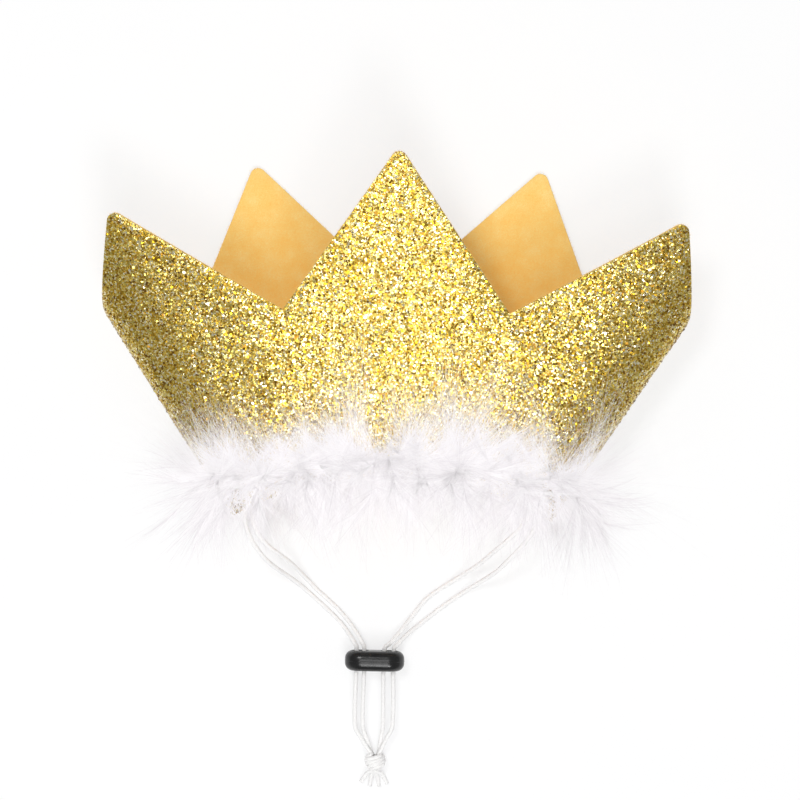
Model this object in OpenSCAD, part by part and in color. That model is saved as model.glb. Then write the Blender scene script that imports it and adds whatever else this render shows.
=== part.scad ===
// Party crown for a pet, lying on its back as a slightly puffed oval cone.
// X runs across the crown, Y from the base towards the points, and Z up from the floor.

/* [Band] */
// Number of points round the rim
point_count = 5; // [4:1:7]
// Slant height from the base edge up to a valley
band_h = 59; // [48:1:80]
// Slant height from a valley up to a point's sharp corner
point_h = 50; // [30:1:60]
// Width of the lying ring at its base edge
base_w = 103.5; // [94:0.5:114]
// Width of the lying ring at its valleys
rim_w = 168; // [148:1:186]
// Height of the lying ring at its valleys
rim_h = 38; // [32:1:52]
// Radius that rounds the tip of a point
tip_r = 2.7; // [1:0.1:5]
// Thickness of the glitter ply
glitter_t = 0.5; // [0.3:0.1:0.8]
// Thickness of the felt ply
felt_t = 1.1; // [0.8:0.1:1.6]
// Width of the glued lap at the base edge
lap_w = 8; // [5:0.5:12]

/* [Feather trim] */
// Half the width of the trim along the band's slant
trim_half = 19; // [14:1:24]
// How far the trim stands out from the band
trim_out = 10; // [8:0.5:16]
// Height of the trim's middle above the base edge
trim_rise = 4; // [0:0.5:8]
// How much higher the trim sits at the side folds
trim_climb = 9; // [0:0.5:12]
// Thickness of the trim where the band presses it on the floor
trim_press = 7; // [6:0.5:9]

/* [Elastic] */
// Diameter of the round elastic
cord_d = 1.5; // [1:0.1:2]
// Diameter of the holes punched for the elastic
hole_d = 2.8; // [2.4:0.1:4]
// Height of the punched holes above the base edge
hole_rise = 6; // [5:0.5:9]

/* [Cord lock] */
// Width of the cord lock
lock_w = 20; // [18:0.5:24]
// Height of the cord lock
lock_h = 11; // [10.5:0.5:13]
// Thickness of the cord lock along the strands
lock_t = 6.8; // [6:0.2:9]
// Radius of the cord lock's rounded rim
lock_round = 2.6; // [1.5:0.1:2.6]
// Width of each slot
slot_w = 6; // [5.4:0.1:6.4]
// Height of each slot
slot_h = 3.8; // [3.2:0.1:4.4]
// Distance between the slots' middles
slot_pitch = 10; // [9.5:0.1:10.6]

/* [Tail knot] */
// Diameter of the knot's core
knot_d = 7.2; // [6.4:0.2:8]
// Thickness of the turn round the knot
knot_turn = 3.6; // [3:0.2:4]
// How far the turn stands out past the core
knot_bulge = 0.8; // [0.6:0.1:1.2]
// Length of the ends past the knot's middle
tail_l = 9; // [6:0.5:12]

/* [Hidden] */
$fn = 48;
full_turn = 360;
half_turn = 180;
quarter_turn = 90;

// The cone: slant lengths from its apex, and its half angles across and up
base_r = band_h * base_w / (rim_w - base_w);
valley_r = base_r + band_h;
tip_sharp_r = valley_r + point_h;
half_across = asin(rim_w / 2 / valley_r);
half_up = asin(rim_h / 2 / valley_r);
wall_t = glitter_t + felt_t;
glue_gap = 0.1;
lap_step = wall_t + glue_gap;

// The pose: the back lies on its points, with its base lifted by the trim
lay_tilt = half_up - atan(trim_press / (tip_sharp_r - base_r));

function unit(v) = v / norm(v);
// Direction of the cone's line at angle t round the oval, from the front's middle
function ray(t) = unit([tan(half_across) * sin(t), 1, tan(half_up) * cos(t)]);
function outward(t) = unit(cross(ray(t + ray_step) - ray(t - ray_step), ray(t)));

// Arc along the oval, as an angle of the flat pattern, measured once in small steps
ray_step = 0.5;
oval_angles = [for (t = [-half_turn : ray_step : half_turn]) t];
function turn_between(a, b) = acos(min(1, ray(a) * ray(b)));
oval_arcs = [
    for (
        i = 0, s = 0;
        i < len(oval_angles);
        i = i + 1,
        s = s + (i < len(oval_angles) ? turn_between(oval_angles[i - 1], oval_angles[i]) : 0)
    ) s
];
sector = oval_arcs[len(oval_arcs) - 1];
arc_table = [for (i = [0 : len(oval_angles) - 1]) [oval_arcs[i] - sector / 2, oval_angles[i]]];
// Arc wrapped into one turn round the ring, and its angle on the oval
function wrapped(s) = s - sector * round(s / sector);
function oval_angle(s) = lookup(wrapped(s), arc_table);

// The rim: straight cut edges between sharp valleys and rounded tips, in the flat pattern
pitch = sector / point_count;
tip_xy = [tip_sharp_r, 0];
edge_xy = [valley_r * cos(pitch / 2), valley_r * sin(pitch / 2)] - tip_xy;
tip_half_angle = atan2(edge_xy.y, -edge_xy.x);
round_r = tip_sharp_r - tip_r / sin(tip_half_angle);
round_end_xy = tip_xy + unit(edge_xy) * tip_r / tan(tip_half_angle);
round_end = atan2(round_end_xy.y, round_end_xy.x);
function cross_2d(a, b) = a.x * b.y - a.y * b.x;
function from_tip(s) = abs(s - pitch * round(s / pitch));
function edge_r(a) = cross_2d(tip_xy, edge_xy) / cross_2d([cos(a), sin(a)], edge_xy);
function tip_round_r(a) = round_r * cos(a) + sqrt(max(0, tip_r ^ 2 - (round_r * sin(a)) ^ 2));
function rim_arc_r(a) = a < round_end ? tip_round_r(a) : edge_r(a);
function rim_r(s) = rim_arc_r(from_tip(s + (point_count % 2 == 0 ? pitch / 2 : 0)));

// The glued lap at the back's middle: the far end steps inside the near end
lap_arc = lap_w / base_r * half_turn / PI;
step_share = 0.9;
step_arc = lap_arc * step_share;
lap_start = sector / 2 - lap_arc / 2;
function eased(f) = let (c = max(0, min(1, f))) c * c * (3 - 2 * c);
function lap_in(s) = lap_step * eased((s - lap_start + step_arc) / step_arc);

// Columns of the band: closer at the tips' rounding, even along the cut edges
edge_columns = 16;
tip_columns = 3;
lap_columns = 4;
half_point = concat(
    [for (i = [0 : tip_columns - 1]) round_end * i / tip_columns],
    [for (i = [0 : edge_columns - 1]) round_end + (pitch / 2 - round_end) * i / edge_columns]
);
half_count = len(half_point);
function tip_first(j) = (j + point_count + (point_count % 2 == 0 ? 1 : 0)) % 2 == 0;
ring_columns = [
    for (j = [0 : 2 * point_count - 1])
        for (i = [0 : half_count - 1])
            j * pitch / 2 - sector / 2 + (
                tip_first(j) ? half_point[i]
                : i == 0 ? 0 : pitch / 2 - half_point[half_count - i]
            )
];
lap_ends = [for (i = [1 : lap_columns]) lap_arc / 2 * i / lap_columns];
columns = concat(
    [for (i = [lap_columns - 1 : -1 : 0]) -sector / 2 - lap_ends[i]],
    ring_columns,
    [sector / 2],
    [for (a = lap_ends) sector / 2 + a]
);

// A point of the lying crown: arc s, slant length r and height off the felt's inner face
function tilted(p) = [
    p.x,
    p.y * cos(lay_tilt) - p.z * sin(lay_tilt),
    p.y * sin(lay_tilt) + p.z * cos(lay_tilt)
];
function raw(s, r, off) = let (t = oval_angle(s)) tilted(r * ray(t) + off * outward(t));
shell_low = min([for (s = columns) raw(s, rim_r(s), wall_t).z]);
shell_far = max([for (s = columns) for (off = [0, wall_t]) raw(s, rim_r(s), off).y]);

// The trim: a tufted half round on the outside of the band, pressed flat on the floor
trim_gap = 0.1;
trim_sides = 14;
tuft_counts = [29, 18, 43];
tuft_leans = [2, -3, 5];
tuft_shares = [0.1, 0.09, 0.06];
function tuft(s, a) =
    let (u = full_turn * s / sector)
    1 + tuft_shares * [for (i = [0 : 2]) sin(tuft_counts[i] * u + tuft_leans[i] * a)];
function above_floor(p) = [p.x, p.y, max(shell_low, p.z)];
trim_rings = [
    for (s = ring_columns)
        [
            for (j = [0 : trim_sides])
                let (
                    a = half_turn * j / trim_sides,
                    swell = j == 0 || j == trim_sides ? 1 : tuft(s, a),
                    middle = base_r + trim_rise + trim_climb * sin(oval_angle(s)) ^ 2,
                    r = middle - trim_half * min(1, swell) * cos(a)
                )
                above_floor(raw(s, r, wall_t + trim_gap + trim_out * swell * sin(a)))
        ]
];

// The origin: middle of the crown's box, on the floor
trim_near = min([for (ring = trim_rings) for (p = ring) p.y]);
seat = [0, -(shell_far + trim_near) / 2, -shell_low];
function laid(s, r, off) = raw(s, r, off) + seat;

// Joins rings of equal length into one closed surface, capped or run round to the start.
// The second half of a ring splits its quads the other way, so that touching plies agree.
function flat(rings) = [for (ring = rings) for (p = ring) p];
function side_faces(rings, around, closed) = [
    for (i = [0 : rings - (closed ? 1 : 2)])
        for (j = [0 : around - 1])
            let (
                a = i * around + j,
                b = i * around + (j + 1) % around,
                c = (i + 1) % rings * around + (j + 1) % around,
                d = (i + 1) % rings * around + j
            )
            each j < around / 2 ? [[a, b, c], [a, c, d]] : [[a, b, d], [b, c, d]]
];
function cap_faces(rings, around) = [
    [for (j = [around - 1 : -1 : 0]) j],
    [for (j = [0 : around - 1]) (rings - 1) * around + j]
];
module skin(rings, closed = false) {
    around = len(rings[0]);
    faces = concat(
        side_faces(len(rings), around, closed),
        closed ? [] : cap_faces(len(rings), around)
    );
    polyhedron(points = flat(rings), faces = faces, convexity = 10);
}

// The holes punched through front and back beside each side fold
hole_turn = 56;
side_signs = [-1, 1];
function arc_at(t) = lookup(t, [for (pair = arc_table) [pair[1], pair[0]]]);
hole_front = laid(arc_at(hole_turn), base_r + hole_rise, 0);
hole_back = laid(arc_at(half_turn - hole_turn), base_r + hole_rise, 0);
hole_mid = (hole_front + hole_back) / 2;
module punched_holes() {
    for (side = side_signs)
        translate([side * hole_mid.x, hole_mid.y, hole_mid.z])
        cylinder(d = hole_d, h = rim_h, center = true);
}

// The round partings in the feathers where the elastic's fold goes round the side
fold_r = 14;
fold_shift = 1.6;
fold_gap = 0.6;
module fold_partings() {
    for (side = side_signs)
        translate([side * (hole_mid.x + fold_shift), hole_mid.y, hole_mid.z])
        rotate([quarter_turn, 0, 0])
        cylinder(r = fold_r, h = cord_d + 2 * fold_gap, center = true);
}

// The left elastic: from the knot through the lock, up to the front hole, round and back
left_route = [
    [-5.1, -137.2, 5.4], [-9.1, -131.2, 5], [-11.1, -127.2, 5.2], [-11.1, -101.2, 5.2],
    [-12.3, -98.8, 4.2], [-15.3, -94.6, 2], [-19.5, -90.2, 0.8], [-26.5, -84, 0.9],
    [-31.1, -80, 2.8], [-35.1, -77, 6.2], [-39.1, -74, 10.8], [-42.7, -70.6, 14.4],
    [-46.5, -65.3, 16.2], [-48.9, -59.2, 16.9], [-49.1, -53.8, 17.7], [-48.3, -49.7, 19.1],
    [-47.9, -47.6, 21.5], [-47.8, -46.9, 25.7], [-48.3, -46.9, 28], [-50.1, -46.9, 29.5],
    [-52.7, -46.9, 29.2], [-56.5, -46.9, 26.3], [-60.9, -46.9, 21.9], [-61.9, -46.9, 17.8],
    [-60.9, -46.9, 13.7], [-56.5, -46.9, 9.3], [-52.7, -46.9, 6.4], [-50.1, -46.9, 6.1],
    [-48.3, -46.9, 7.6], [-47.8, -46.9, 9.9], [-47.7, -47.6, 13.7], [-47.3, -49.7, 15.9],
    [-46.9, -53.8, 16.1], [-45.8, -60.4, 15.5], [-41.9, -66.2, 14], [-37.7, -69.6, 11.6],
    [-33.7, -72.8, 8], [-29.7, -77, 3.6], [-25.1, -81.8, 0.9], [-17.5, -88.6, 0.8],
    [-12.9, -93.8, 2.2], [-9.7, -98.6, 4.2], [-8.5, -101.2, 5.2], [-8.5, -127.2, 5.2],
    [-7.3, -131.2, 4.4], [-5.1, -137.2, 3.5]
];
// The right elastic, in the same order
right_route = [
    [-3.1, -137.2, 5.4], [-0.3, -131.2, 5], [1.5, -127.2, 5.2], [1.5, -101.2, 5.2],
    [3.1, -99.2, 4.2], [6.3, -96, 2.4], [10.5, -92.6, 0.9], [19.3, -85.6, 0.8], [25.3, -81.4, 1.6],
    [29.5, -78.5, 4.2], [33.1, -75.9, 7.6], [36.5, -73, 11], [39.9, -69.2, 13.8],
    [43.9, -64.7, 15.6], [47.6, -59.2, 16.7], [49, -53.8, 17.7], [48.3, -49.7, 19.1],
    [47.9, -47.6, 21.5], [47.8, -46.9, 25.7], [48.3, -46.9, 28], [50.1, -46.9, 29.5],
    [52.7, -46.9, 29.2], [56.5, -46.9, 26.3], [60.9, -46.9, 21.9], [61.9, -46.9, 17.8],
    [60.9, -46.9, 13.7], [56.5, -46.9, 9.3], [52.7, -46.9, 6.4], [50.1, -46.9, 6.1],
    [48.3, -46.9, 7.6], [47.8, -46.9, 9.9], [47.7, -47.6, 13.7], [47.3, -49.7, 15.9],
    [46.2, -53.6, 16.1], [42.6, -59.4, 15.3], [38, -64, 13.6], [33.7, -68, 10.6],
    [29.7, -71.8, 6.6], [24.9, -75.4, 2.8], [19.5, -79, 0.9], [12.3, -84.2, 0.8], [8.1, -89.4, 0.9],
    [4.3, -94.4, 2.2], [0.3, -99.2, 4.2], [-1.7, -101.2, 5.2], [-1.7, -127.2, 5.2],
    [-2.3, -131.2, 4.4], [-3.1, -137.2, 3.5]
];

// The routes were drawn for a right-hand hole at this place. Where the size of the band moves the holes,
// the strands go with them, from the lock's end of their free run up to the base.
drawn_hole = [47.83, -46.9, 17.77];
follow_from = -101.2;
follow_to = -65.2;
hole_shift = hole_mid - drawn_hole;
function fitted(route, side) = [
    for (p = route)
        let (share = eased((p.y - follow_from) / (follow_to - follow_from)))
        p + share * [side * hole_shift.x, hole_shift.y, hole_shift.z]
];

// Where the lock and the knot lie: the lock on the strands' straight run, the knot on their ends
lock_lead = 4;
knot_bite = 1.1;
first_run = [for (route = [left_route, right_route]) route[3]];
last_run = [for (route = [left_route, right_route]) route[len(route) - 4]];
run_ends = concat(first_run, last_run);
cord_ends = [for (route = [left_route, right_route]) each [route[0], route[len(route) - 1]]];
function middle_of(points) = [for (point = points) 1] * points / len(points);
lock_at = [middle_of(run_ends).x, middle_of(run_ends).y - lock_lead, 0];
knot_at = [middle_of(cord_ends).x, middle_of(cord_ends).y - knot_d / 2 + knot_bite, 0];

// A round tube along a route, its rings carried on without twist
cord_sides = 8;
function along(route, i) = unit(route[min(i + 1, len(route) - 1)] - route[max(i - 1, 0)]);
function carried(side, way) = unit(side - (side * way) * way);
function tube_ring(middle, way, side) =
    let (other = cross(side, way))
    [
        for (k = [0 : cord_sides - 1])
            let (a = full_turn * k / cord_sides)
            middle + cord_d / 2 * (cos(a) * side + sin(a) * other)
    ];
function tube_rings(route) = [
    for (
        i = 0, side = carried([0, 0, 1], along(route, 0));
        i < len(route);
        i = i + 1,
        side = carried(side, along(route, min(i, len(route) - 1)))
    ) tube_ring(route[i], along(route, i), side)
];

// One ply of the band, between two heights off the felt's inner face
module ply(from, to) {
    rings = [
        for (s = columns)
            [
                laid(s, base_r, to - lap_in(s)),
                laid(s, rim_r(s), to - lap_in(s)),
                laid(s, rim_r(s), from - lap_in(s)),
                laid(s, base_r, from - lap_in(s))
            ]
    ];
    skin(rings);
}

// The outer gold ply
module glitter_shell() {
    color("goldenrod")
    difference() {
        ply(felt_t, wall_t);
        punched_holes();
    }
}

// The inner felt ply
module felt_lining() {
    color("orange")
    difference() {
        ply(0, felt_t);
        punched_holes();
    }
}

// The feather ring
module feather_trim() {
    color("white")
    difference() {
        translate(seat)
        skin(trim_rings, closed = true);
        fold_partings();
    }
}

// The elastics
module left_elastic() {
    color("whitesmoke")
    skin(tube_rings(fitted(left_route, side_signs[0])));
}
module right_elastic() {
    color("whitesmoke")
    skin(tube_rings(fitted(right_route, side_signs[1])));
}

// Half of the cord lock's section, from its middle out to its rounded rim
module lock_section() {
    square([lock_h / 2 - lock_round, lock_t]);
    translate([0, lock_round])
    square([lock_h / 2, lock_t - 2 * lock_round]);
    for (at = [lock_round, lock_t - lock_round])
        translate([lock_h / 2 - lock_round, at])
        circle(r = lock_round);
}
module lock_slot() {
    round_x = (slot_w - slot_h) / 2;
    for (side = side_signs)
        translate([side * round_x, 0, 0])
        cylinder(d = slot_h, h = 2 * lock_t, center = true);
    cube([2 * round_x, slot_h, 2 * lock_t], center = true);
}

// The oval bead that slides on the strands
module cord_lock() {
    round_x = (lock_w - lock_h) / 2;
    color("black")
    translate(lock_at + [0, lock_t / 2, lock_h / 2])
    rotate([quarter_turn, 0, 0])
    difference() {
        union() {
            for (side = side_signs)
                translate([side * round_x, 0, 0])
                rotate_extrude()
                lock_section();
            for (half = [0, half_turn])
                rotate([0, 0, half])
                translate([-round_x, 0, 0])
                rotate([quarter_turn, 0, quarter_turn])
                linear_extrude(height = 2 * round_x)
                lock_section();
        }
        for (side = side_signs)
            translate([side * slot_pitch / 2, 0, lock_t / 2])
            lock_slot();
    }
}

// The overhand knot of the four ends: a core, a turn round it and the short tails
tail_dip = 22;
tail_fans = [-34, -12, 10, 30];
turn_lean = 12;
module tail_knot() {
    turn_r = (knot_d - knot_turn) / 2 + knot_bulge;
    color("whitesmoke")
    translate(knot_at + [0, 0, turn_r + knot_turn / 2]) {
        sphere(d = knot_d);
        rotate([quarter_turn, 0, turn_lean])
        rotate_extrude()
        translate([turn_r, 0])
        circle(d = knot_turn);
        for (fan = tail_fans)
            rotate([quarter_turn + tail_dip, 0, fan])
            cylinder(d = cord_d, h = tail_l);
    }
}

glitter_shell();
felt_lining();
feather_trim();
left_elastic();
right_elastic();
cord_lock();
tail_knot();
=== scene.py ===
"""Party crown for a pet: glitter band, felt lining, marabou trim, chin elastics and cord lock.

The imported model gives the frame. Each sub-assembly is a class that holds its sizes in millimetres,
builds its meshes around that frame and dresses them.
"""
import logging
import math
from dataclasses import dataclass, field
from enum import Enum
from functools import cached_property
from typing import Any

import bmesh
import bpy
import numpy as np
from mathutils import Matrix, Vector


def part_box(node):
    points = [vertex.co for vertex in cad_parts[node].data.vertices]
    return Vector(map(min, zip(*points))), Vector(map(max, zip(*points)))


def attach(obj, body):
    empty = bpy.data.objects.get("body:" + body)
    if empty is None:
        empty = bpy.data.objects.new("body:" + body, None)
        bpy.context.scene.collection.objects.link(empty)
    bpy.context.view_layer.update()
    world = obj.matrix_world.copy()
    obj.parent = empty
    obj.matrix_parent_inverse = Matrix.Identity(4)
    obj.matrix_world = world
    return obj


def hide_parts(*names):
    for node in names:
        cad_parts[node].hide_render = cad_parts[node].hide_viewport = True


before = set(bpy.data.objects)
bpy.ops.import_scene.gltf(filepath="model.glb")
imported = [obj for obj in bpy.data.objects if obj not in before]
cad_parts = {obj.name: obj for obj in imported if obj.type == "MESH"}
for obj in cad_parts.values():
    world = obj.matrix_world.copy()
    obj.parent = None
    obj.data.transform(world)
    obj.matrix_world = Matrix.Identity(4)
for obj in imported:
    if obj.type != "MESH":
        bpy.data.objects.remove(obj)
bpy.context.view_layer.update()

LOG = logging.getLogger("crown")
MM = 0.001
UP = np.array([0.0, 0.0, 1.0])
# Any direction that no route starts along
SKEW = np.array([0.37, 0.61, 0.7])
# Least length that a vector is divided by
TINY = 1e-12
# Points of a route's smooth curve from one given point to the next
ROUTE_STEPS = 12
# Width of a ribbon's tip, as a share of its root's
RIBBON_TIP = 0.25
# Name of the meshes' own value that sets how white a barb is
TONE = "tone"


class Body(Enum):
    """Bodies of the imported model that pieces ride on."""

    CROWN = "crown"
    LOCK = "lock"


class Side(Enum):
    """Side of the crown, as the sign of its X."""

    LEFT = -1
    RIGHT = 1


# Small tools


def linear(code: str) -> tuple[float, float, float, float]:
    """Turn an sRGB hex colour into linear RGBA.

    Args:
        code: Six hex digits, with or without a leading hash sign.

    Returns:
        Linear red, green, blue and an alpha of one.
    """
    parts = [int(code.lstrip("#")[i:i + 2], 16) / 255 for i in (0, 2, 4)]
    flat = [c / 12.92 if c <= 0.04045 else ((c + 0.055) / 1.055) ** 2.4 for c in parts]
    return (flat[0], flat[1], flat[2], 1.0)


def per_metre(size_mm: float) -> float:
    """Texture scale that makes one pattern cell as large as size_mm."""
    return 1 / (size_mm * MM)


def add_node(
    tree: bpy.types.NodeTree, kind: str, inputs: dict[Any, Any] | None = None, **settings: Any
) -> bpy.types.Node:
    """Add one node to a tree.

    Args:
        tree: Node tree that takes the node.
        kind: Blender's name of the node type.
        inputs: Input name or index, with a value to set or an output socket to link.
        settings: Attributes of the node.

    Returns:
        The new node.
    """
    made = tree.nodes.new(kind)
    for name, value in settings.items():
        setattr(made, name, value)
    for key, value in (inputs or {}).items():
        if isinstance(value, bpy.types.NodeSocket):
            tree.links.new(value, made.inputs[key])
        else:
            made.inputs[key].default_value = value
    return made


def new_material(name: str) -> tuple[bpy.types.Material, bpy.types.NodeTree]:
    """Make an empty node material.

    Args:
        name: Name of the material.

    Returns:
        The material and its emptied node tree.
    """
    material = bpy.data.materials.new(name)
    material.use_nodes = True
    material.node_tree.nodes.clear()
    return material, material.node_tree


def set_ramp(ramp: bpy.types.Node, stops: list[tuple[float, str]]) -> None:
    """Set a colour ramp's stops.

    Args:
        ramp: Colour ramp node.
        stops: Places from 0 to 1, with sRGB hex colours.
    """
    elements = ramp.color_ramp.elements
    while len(elements) < len(stops):
        elements.new(1.0)
    for element, (place, code) in zip(elements, stops):
        element.position = place
        element.color = linear(code)


def unit(vectors: np.ndarray) -> np.ndarray:
    """Scale vectors along the last axis to length one."""
    return vectors / np.maximum(np.linalg.norm(vectors, axis=-1, keepdims=True), TINY)


def eased(share: np.ndarray) -> np.ndarray:
    """Smooth step from 0 to 1."""
    held = np.clip(share, 0, 1)
    return held * held * (3 - 2 * held)


def mesh_piece(
    name: str, points: np.ndarray, faces: np.ndarray, smooth: bool = True
) -> bpy.types.Object:
    """Make a mesh object from points in millimetres.

    Args:
        name: Name of the object and its mesh.
        points: Points, one row each.
        faces: Point numbers of each face, all faces with the same count.
        smooth: Whether the faces are shaded smooth.

    Returns:
        The new object, linked to the scene.
    """
    mesh = bpy.data.meshes.new(name)
    corners = np.ascontiguousarray(faces, dtype=np.int32)
    mesh.vertices.add(len(points))
    mesh.vertices.foreach_set("co", (np.asarray(points) * MM).astype(np.float32).ravel())
    mesh.loops.add(corners.size)
    mesh.loops.foreach_set("vertex_index", corners.ravel())
    mesh.polygons.add(len(corners))
    starts = np.arange(0, corners.size, corners.shape[1], dtype=np.int32)
    mesh.polygons.foreach_set("loop_start", starts)
    mesh.polygons.foreach_set("use_smooth", np.full(len(corners), smooth))
    mesh.update(calc_edges=True)
    piece = bpy.data.objects.new(name, mesh)
    bpy.context.scene.collection.objects.link(piece)
    return piece


def grid_faces(rows: int, around: int) -> np.ndarray:
    """Quads between rows of points, each row closed on itself.

    Args:
        rows: Number of rows.
        around: Points in a row.

    Returns:
        Point numbers, four a face.
    """
    row = np.arange(rows - 1)[:, None] * around
    at = np.arange(around)[None, :]
    after = (at + 1) % around
    quads = np.stack([row + at, row + after, row + around + after, row + around + at], -1)
    return quads.reshape(-1, 4)


def end_faces(rows: int, around: int) -> np.ndarray:
    """Strips of quads that close the first and the last row of a flat section.

    Args:
        rows: Number of rows.
        around: Points in a row, which lie in pairs across the section.

    Returns:
        Point numbers, four a face.
    """
    at = np.arange(around // 2 - 1)
    strip = np.stack([at, at + 1, around - 2 - at, around - 1 - at], -1)
    return np.vstack([strip[:, ::-1], strip + (rows - 1) * around])


def turn_outward(piece: bpy.types.Object, fill: bool = False) -> None:
    """Turn the faces of a closed mesh outwards.

    Args:
        piece: Object with the mesh.
        fill: Whether open rims are closed first.
    """
    work = bmesh.new()
    work.from_mesh(piece.data)
    if fill:
        bmesh.ops.holes_fill(work, edges=work.edges[:])
    bmesh.ops.recalc_face_normals(work, faces=work.faces[:])
    work.to_mesh(piece.data)
    work.free()


def smooth_route(points: np.ndarray, step: float) -> np.ndarray:
    """Draw a smooth curve through points, with even spacing.

    Args:
        points: Points of the route.
        step: Distance between the new points.

    Returns:
        Points of the smooth curve.
    """
    padded = np.vstack([2 * points[0] - points[1], points, 2 * points[-1] - points[-2]])
    share = np.linspace(0, 1, ROUTE_STEPS, endpoint=False)[:, None]
    runs = []
    for a, b, c, d in zip(padded, padded[1:], padded[2:], padded[3:]):
        span = np.linalg.norm(c - b)
        before = span * unit(c - a)
        after = span * unit(d - b)
        runs.append(
            (2 * share ** 3 - 3 * share ** 2 + 1) * b
            + (share ** 3 - 2 * share ** 2 + share) * before
            + (3 * share ** 2 - 2 * share ** 3) * c
            + (share ** 3 - share ** 2) * after
        )
    line = np.vstack([*runs, points[-1:]])
    along = np.concatenate([[0], np.cumsum(np.linalg.norm(np.diff(line, axis=0), axis=1))])
    at = np.linspace(0, along[-1], int(along[-1] / step) + 2)
    return np.stack([np.interp(at, along, line[:, k]) for k in range(3)], axis=1)


def carried_frames(line: np.ndarray) -> tuple[np.ndarray, np.ndarray, np.ndarray]:
    """Frames along a line, carried on without twist.

    Args:
        line: Points of the line.

    Returns:
        Unit vectors along the line, and two across it.
    """
    way = unit(np.gradient(line, axis=0))
    side = np.empty_like(way)
    side[0] = unit(np.cross(way[0], SKEW))
    for i in range(1, len(line)):
        side[i] = unit(side[i - 1] - (side[i - 1] @ way[i]) * way[i])
    return way, side, np.cross(way, side)


def length_of(line: np.ndarray) -> float:
    """Length of a line of points."""
    return float(np.linalg.norm(np.diff(line, axis=0), axis=1).sum())


def bent_lines(
    root: np.ndarray, way: np.ndarray, reach: np.ndarray, curl: np.ndarray, steps: int
) -> np.ndarray:
    """Draw bent lines.

    Args:
        root: Starts of the lines.
        way: Directions at the starts.
        reach: Lengths, in one column.
        curl: How far each line bends off its direction, as a share of its length.
        steps: Points in a line.

    Returns:
        Points by line and place along it.
    """
    place = np.linspace(0, 1, steps)[None, :, None]
    return root[:, None] + reach[:, None] * (place * way[:, None] + place ** 2 * curl[:, None])


def ribbons(
    name: str, lines: np.ndarray, widths: np.ndarray, facing: np.ndarray, tones: np.ndarray
) -> bpy.types.Object:
    """Make thin tapered ribbons along many short lines.

    Args:
        name: Name of the piece.
        lines: Points, by line and place along it.
        widths: Width of each ribbon at its root.
        facing: Direction that each ribbon's flat side looks to.
        tones: How white each ribbon is, from 0 to 1.

    Returns:
        All ribbons as one piece.
    """
    count, steps = lines.shape[:2]
    way = unit(np.gradient(lines, axis=1))
    side = unit(np.cross(way, facing[:, None]))
    taper = np.linspace(1, RIBBON_TIP, steps)[None, :, None]
    half = widths[:, None, None] / 2 * taper * side
    points = np.stack([lines - half, lines + half], axis=2).reshape(-1, 3)
    first = (np.arange(count)[:, None] * steps + np.arange(steps - 1)[None, :]) * 2
    faces = np.stack([first, first + 1, first + 3, first + 2], -1).reshape(-1, 4)
    piece = mesh_piece(name, points, faces)
    own = piece.data.attributes.new(TONE, "FLOAT", "POINT")
    own.data.foreach_set("value", np.repeat(tones, 2 * steps).astype(np.float32))
    return piece


# Finishes


@dataclass(frozen=True)
class GlitterSheet:
    """Polyester glitter, cut small and bonded close together on a thin sheet."""

    fine_mm: float = 0.42
    tilt: float = 0.4
    bronze: str = "#886006"
    gold: str = "#C29A17"
    bright: str = "#DAC664"
    pale: str = "#FCF6D4"
    metal: float = 0.85
    # Roughness of the darkest and of the palest flakes
    gloss: tuple[float, float] = (0.42, 0.24)
    lacquer: float = 0.42
    lacquer_gloss: float = 0.35

    def material(self) -> bpy.types.Material:
        """Each cell is a flake that lies its own way, so some flash white and some stay dark.

        Returns:
            The material of the sheet between the loose flakes.
        """
        material, tree = new_material("polyester_glitter_bonded_sheet")
        place = add_node(tree, "ShaderNodeTexCoord").outputs["Object"]
        cells = add_node(
            tree, "ShaderNodeTexVoronoi", {"Vector": place, "Scale": per_metre(self.fine_mm)}
        )
        chance = add_node(
            tree, "ShaderNodeTexWhiteNoise", {"Vector": cells.outputs["Position"]}
        )
        tone = add_node(tree, "ShaderNodeValToRGB", {"Fac": chance.outputs["Value"]})
        set_ramp(
            tone, [(0.0, self.bronze), (0.3, self.gold), (0.7, self.bright), (1.0, self.pale)]
        )
        centred = add_node(
            tree, "ShaderNodeVectorMath", {0: cells.outputs["Color"], 1: (0.5, 0.5, 0.5)},
            operation="SUBTRACT",
        )
        leaned = add_node(
            tree, "ShaderNodeVectorMath", {0: centred.outputs[0], "Scale": self.tilt},
            operation="SCALE",
        )
        lying = add_node(tree, "ShaderNodeNewGeometry").outputs["Normal"]
        facing = add_node(
            tree, "ShaderNodeVectorMath", {0: lying, 1: leaned.outputs[0]}, operation="ADD"
        )
        normal = add_node(
            tree, "ShaderNodeVectorMath", {0: facing.outputs[0]}, operation="NORMALIZE"
        )
        gloss = add_node(
            tree, "ShaderNodeMapRange",
            {
                "Value": chance.outputs["Value"],
                "To Min": self.gloss[0],
                "To Max": self.gloss[1],
            },
        )
        shader = add_node(
            tree, "ShaderNodeBsdfPrincipled",
            {
                "Base Color": tone.outputs["Color"],
                "Metallic": self.metal,
                "Roughness": gloss.outputs["Result"],
                "Normal": normal.outputs[0],
                "Coat Weight": self.lacquer,
                "Coat Roughness": self.lacquer_gloss,
                "Coat Normal": normal.outputs[0],
            },
        )
        add_node(tree, "ShaderNodeOutputMaterial", {"Surface": shader.outputs[0]})
        return material


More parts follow.
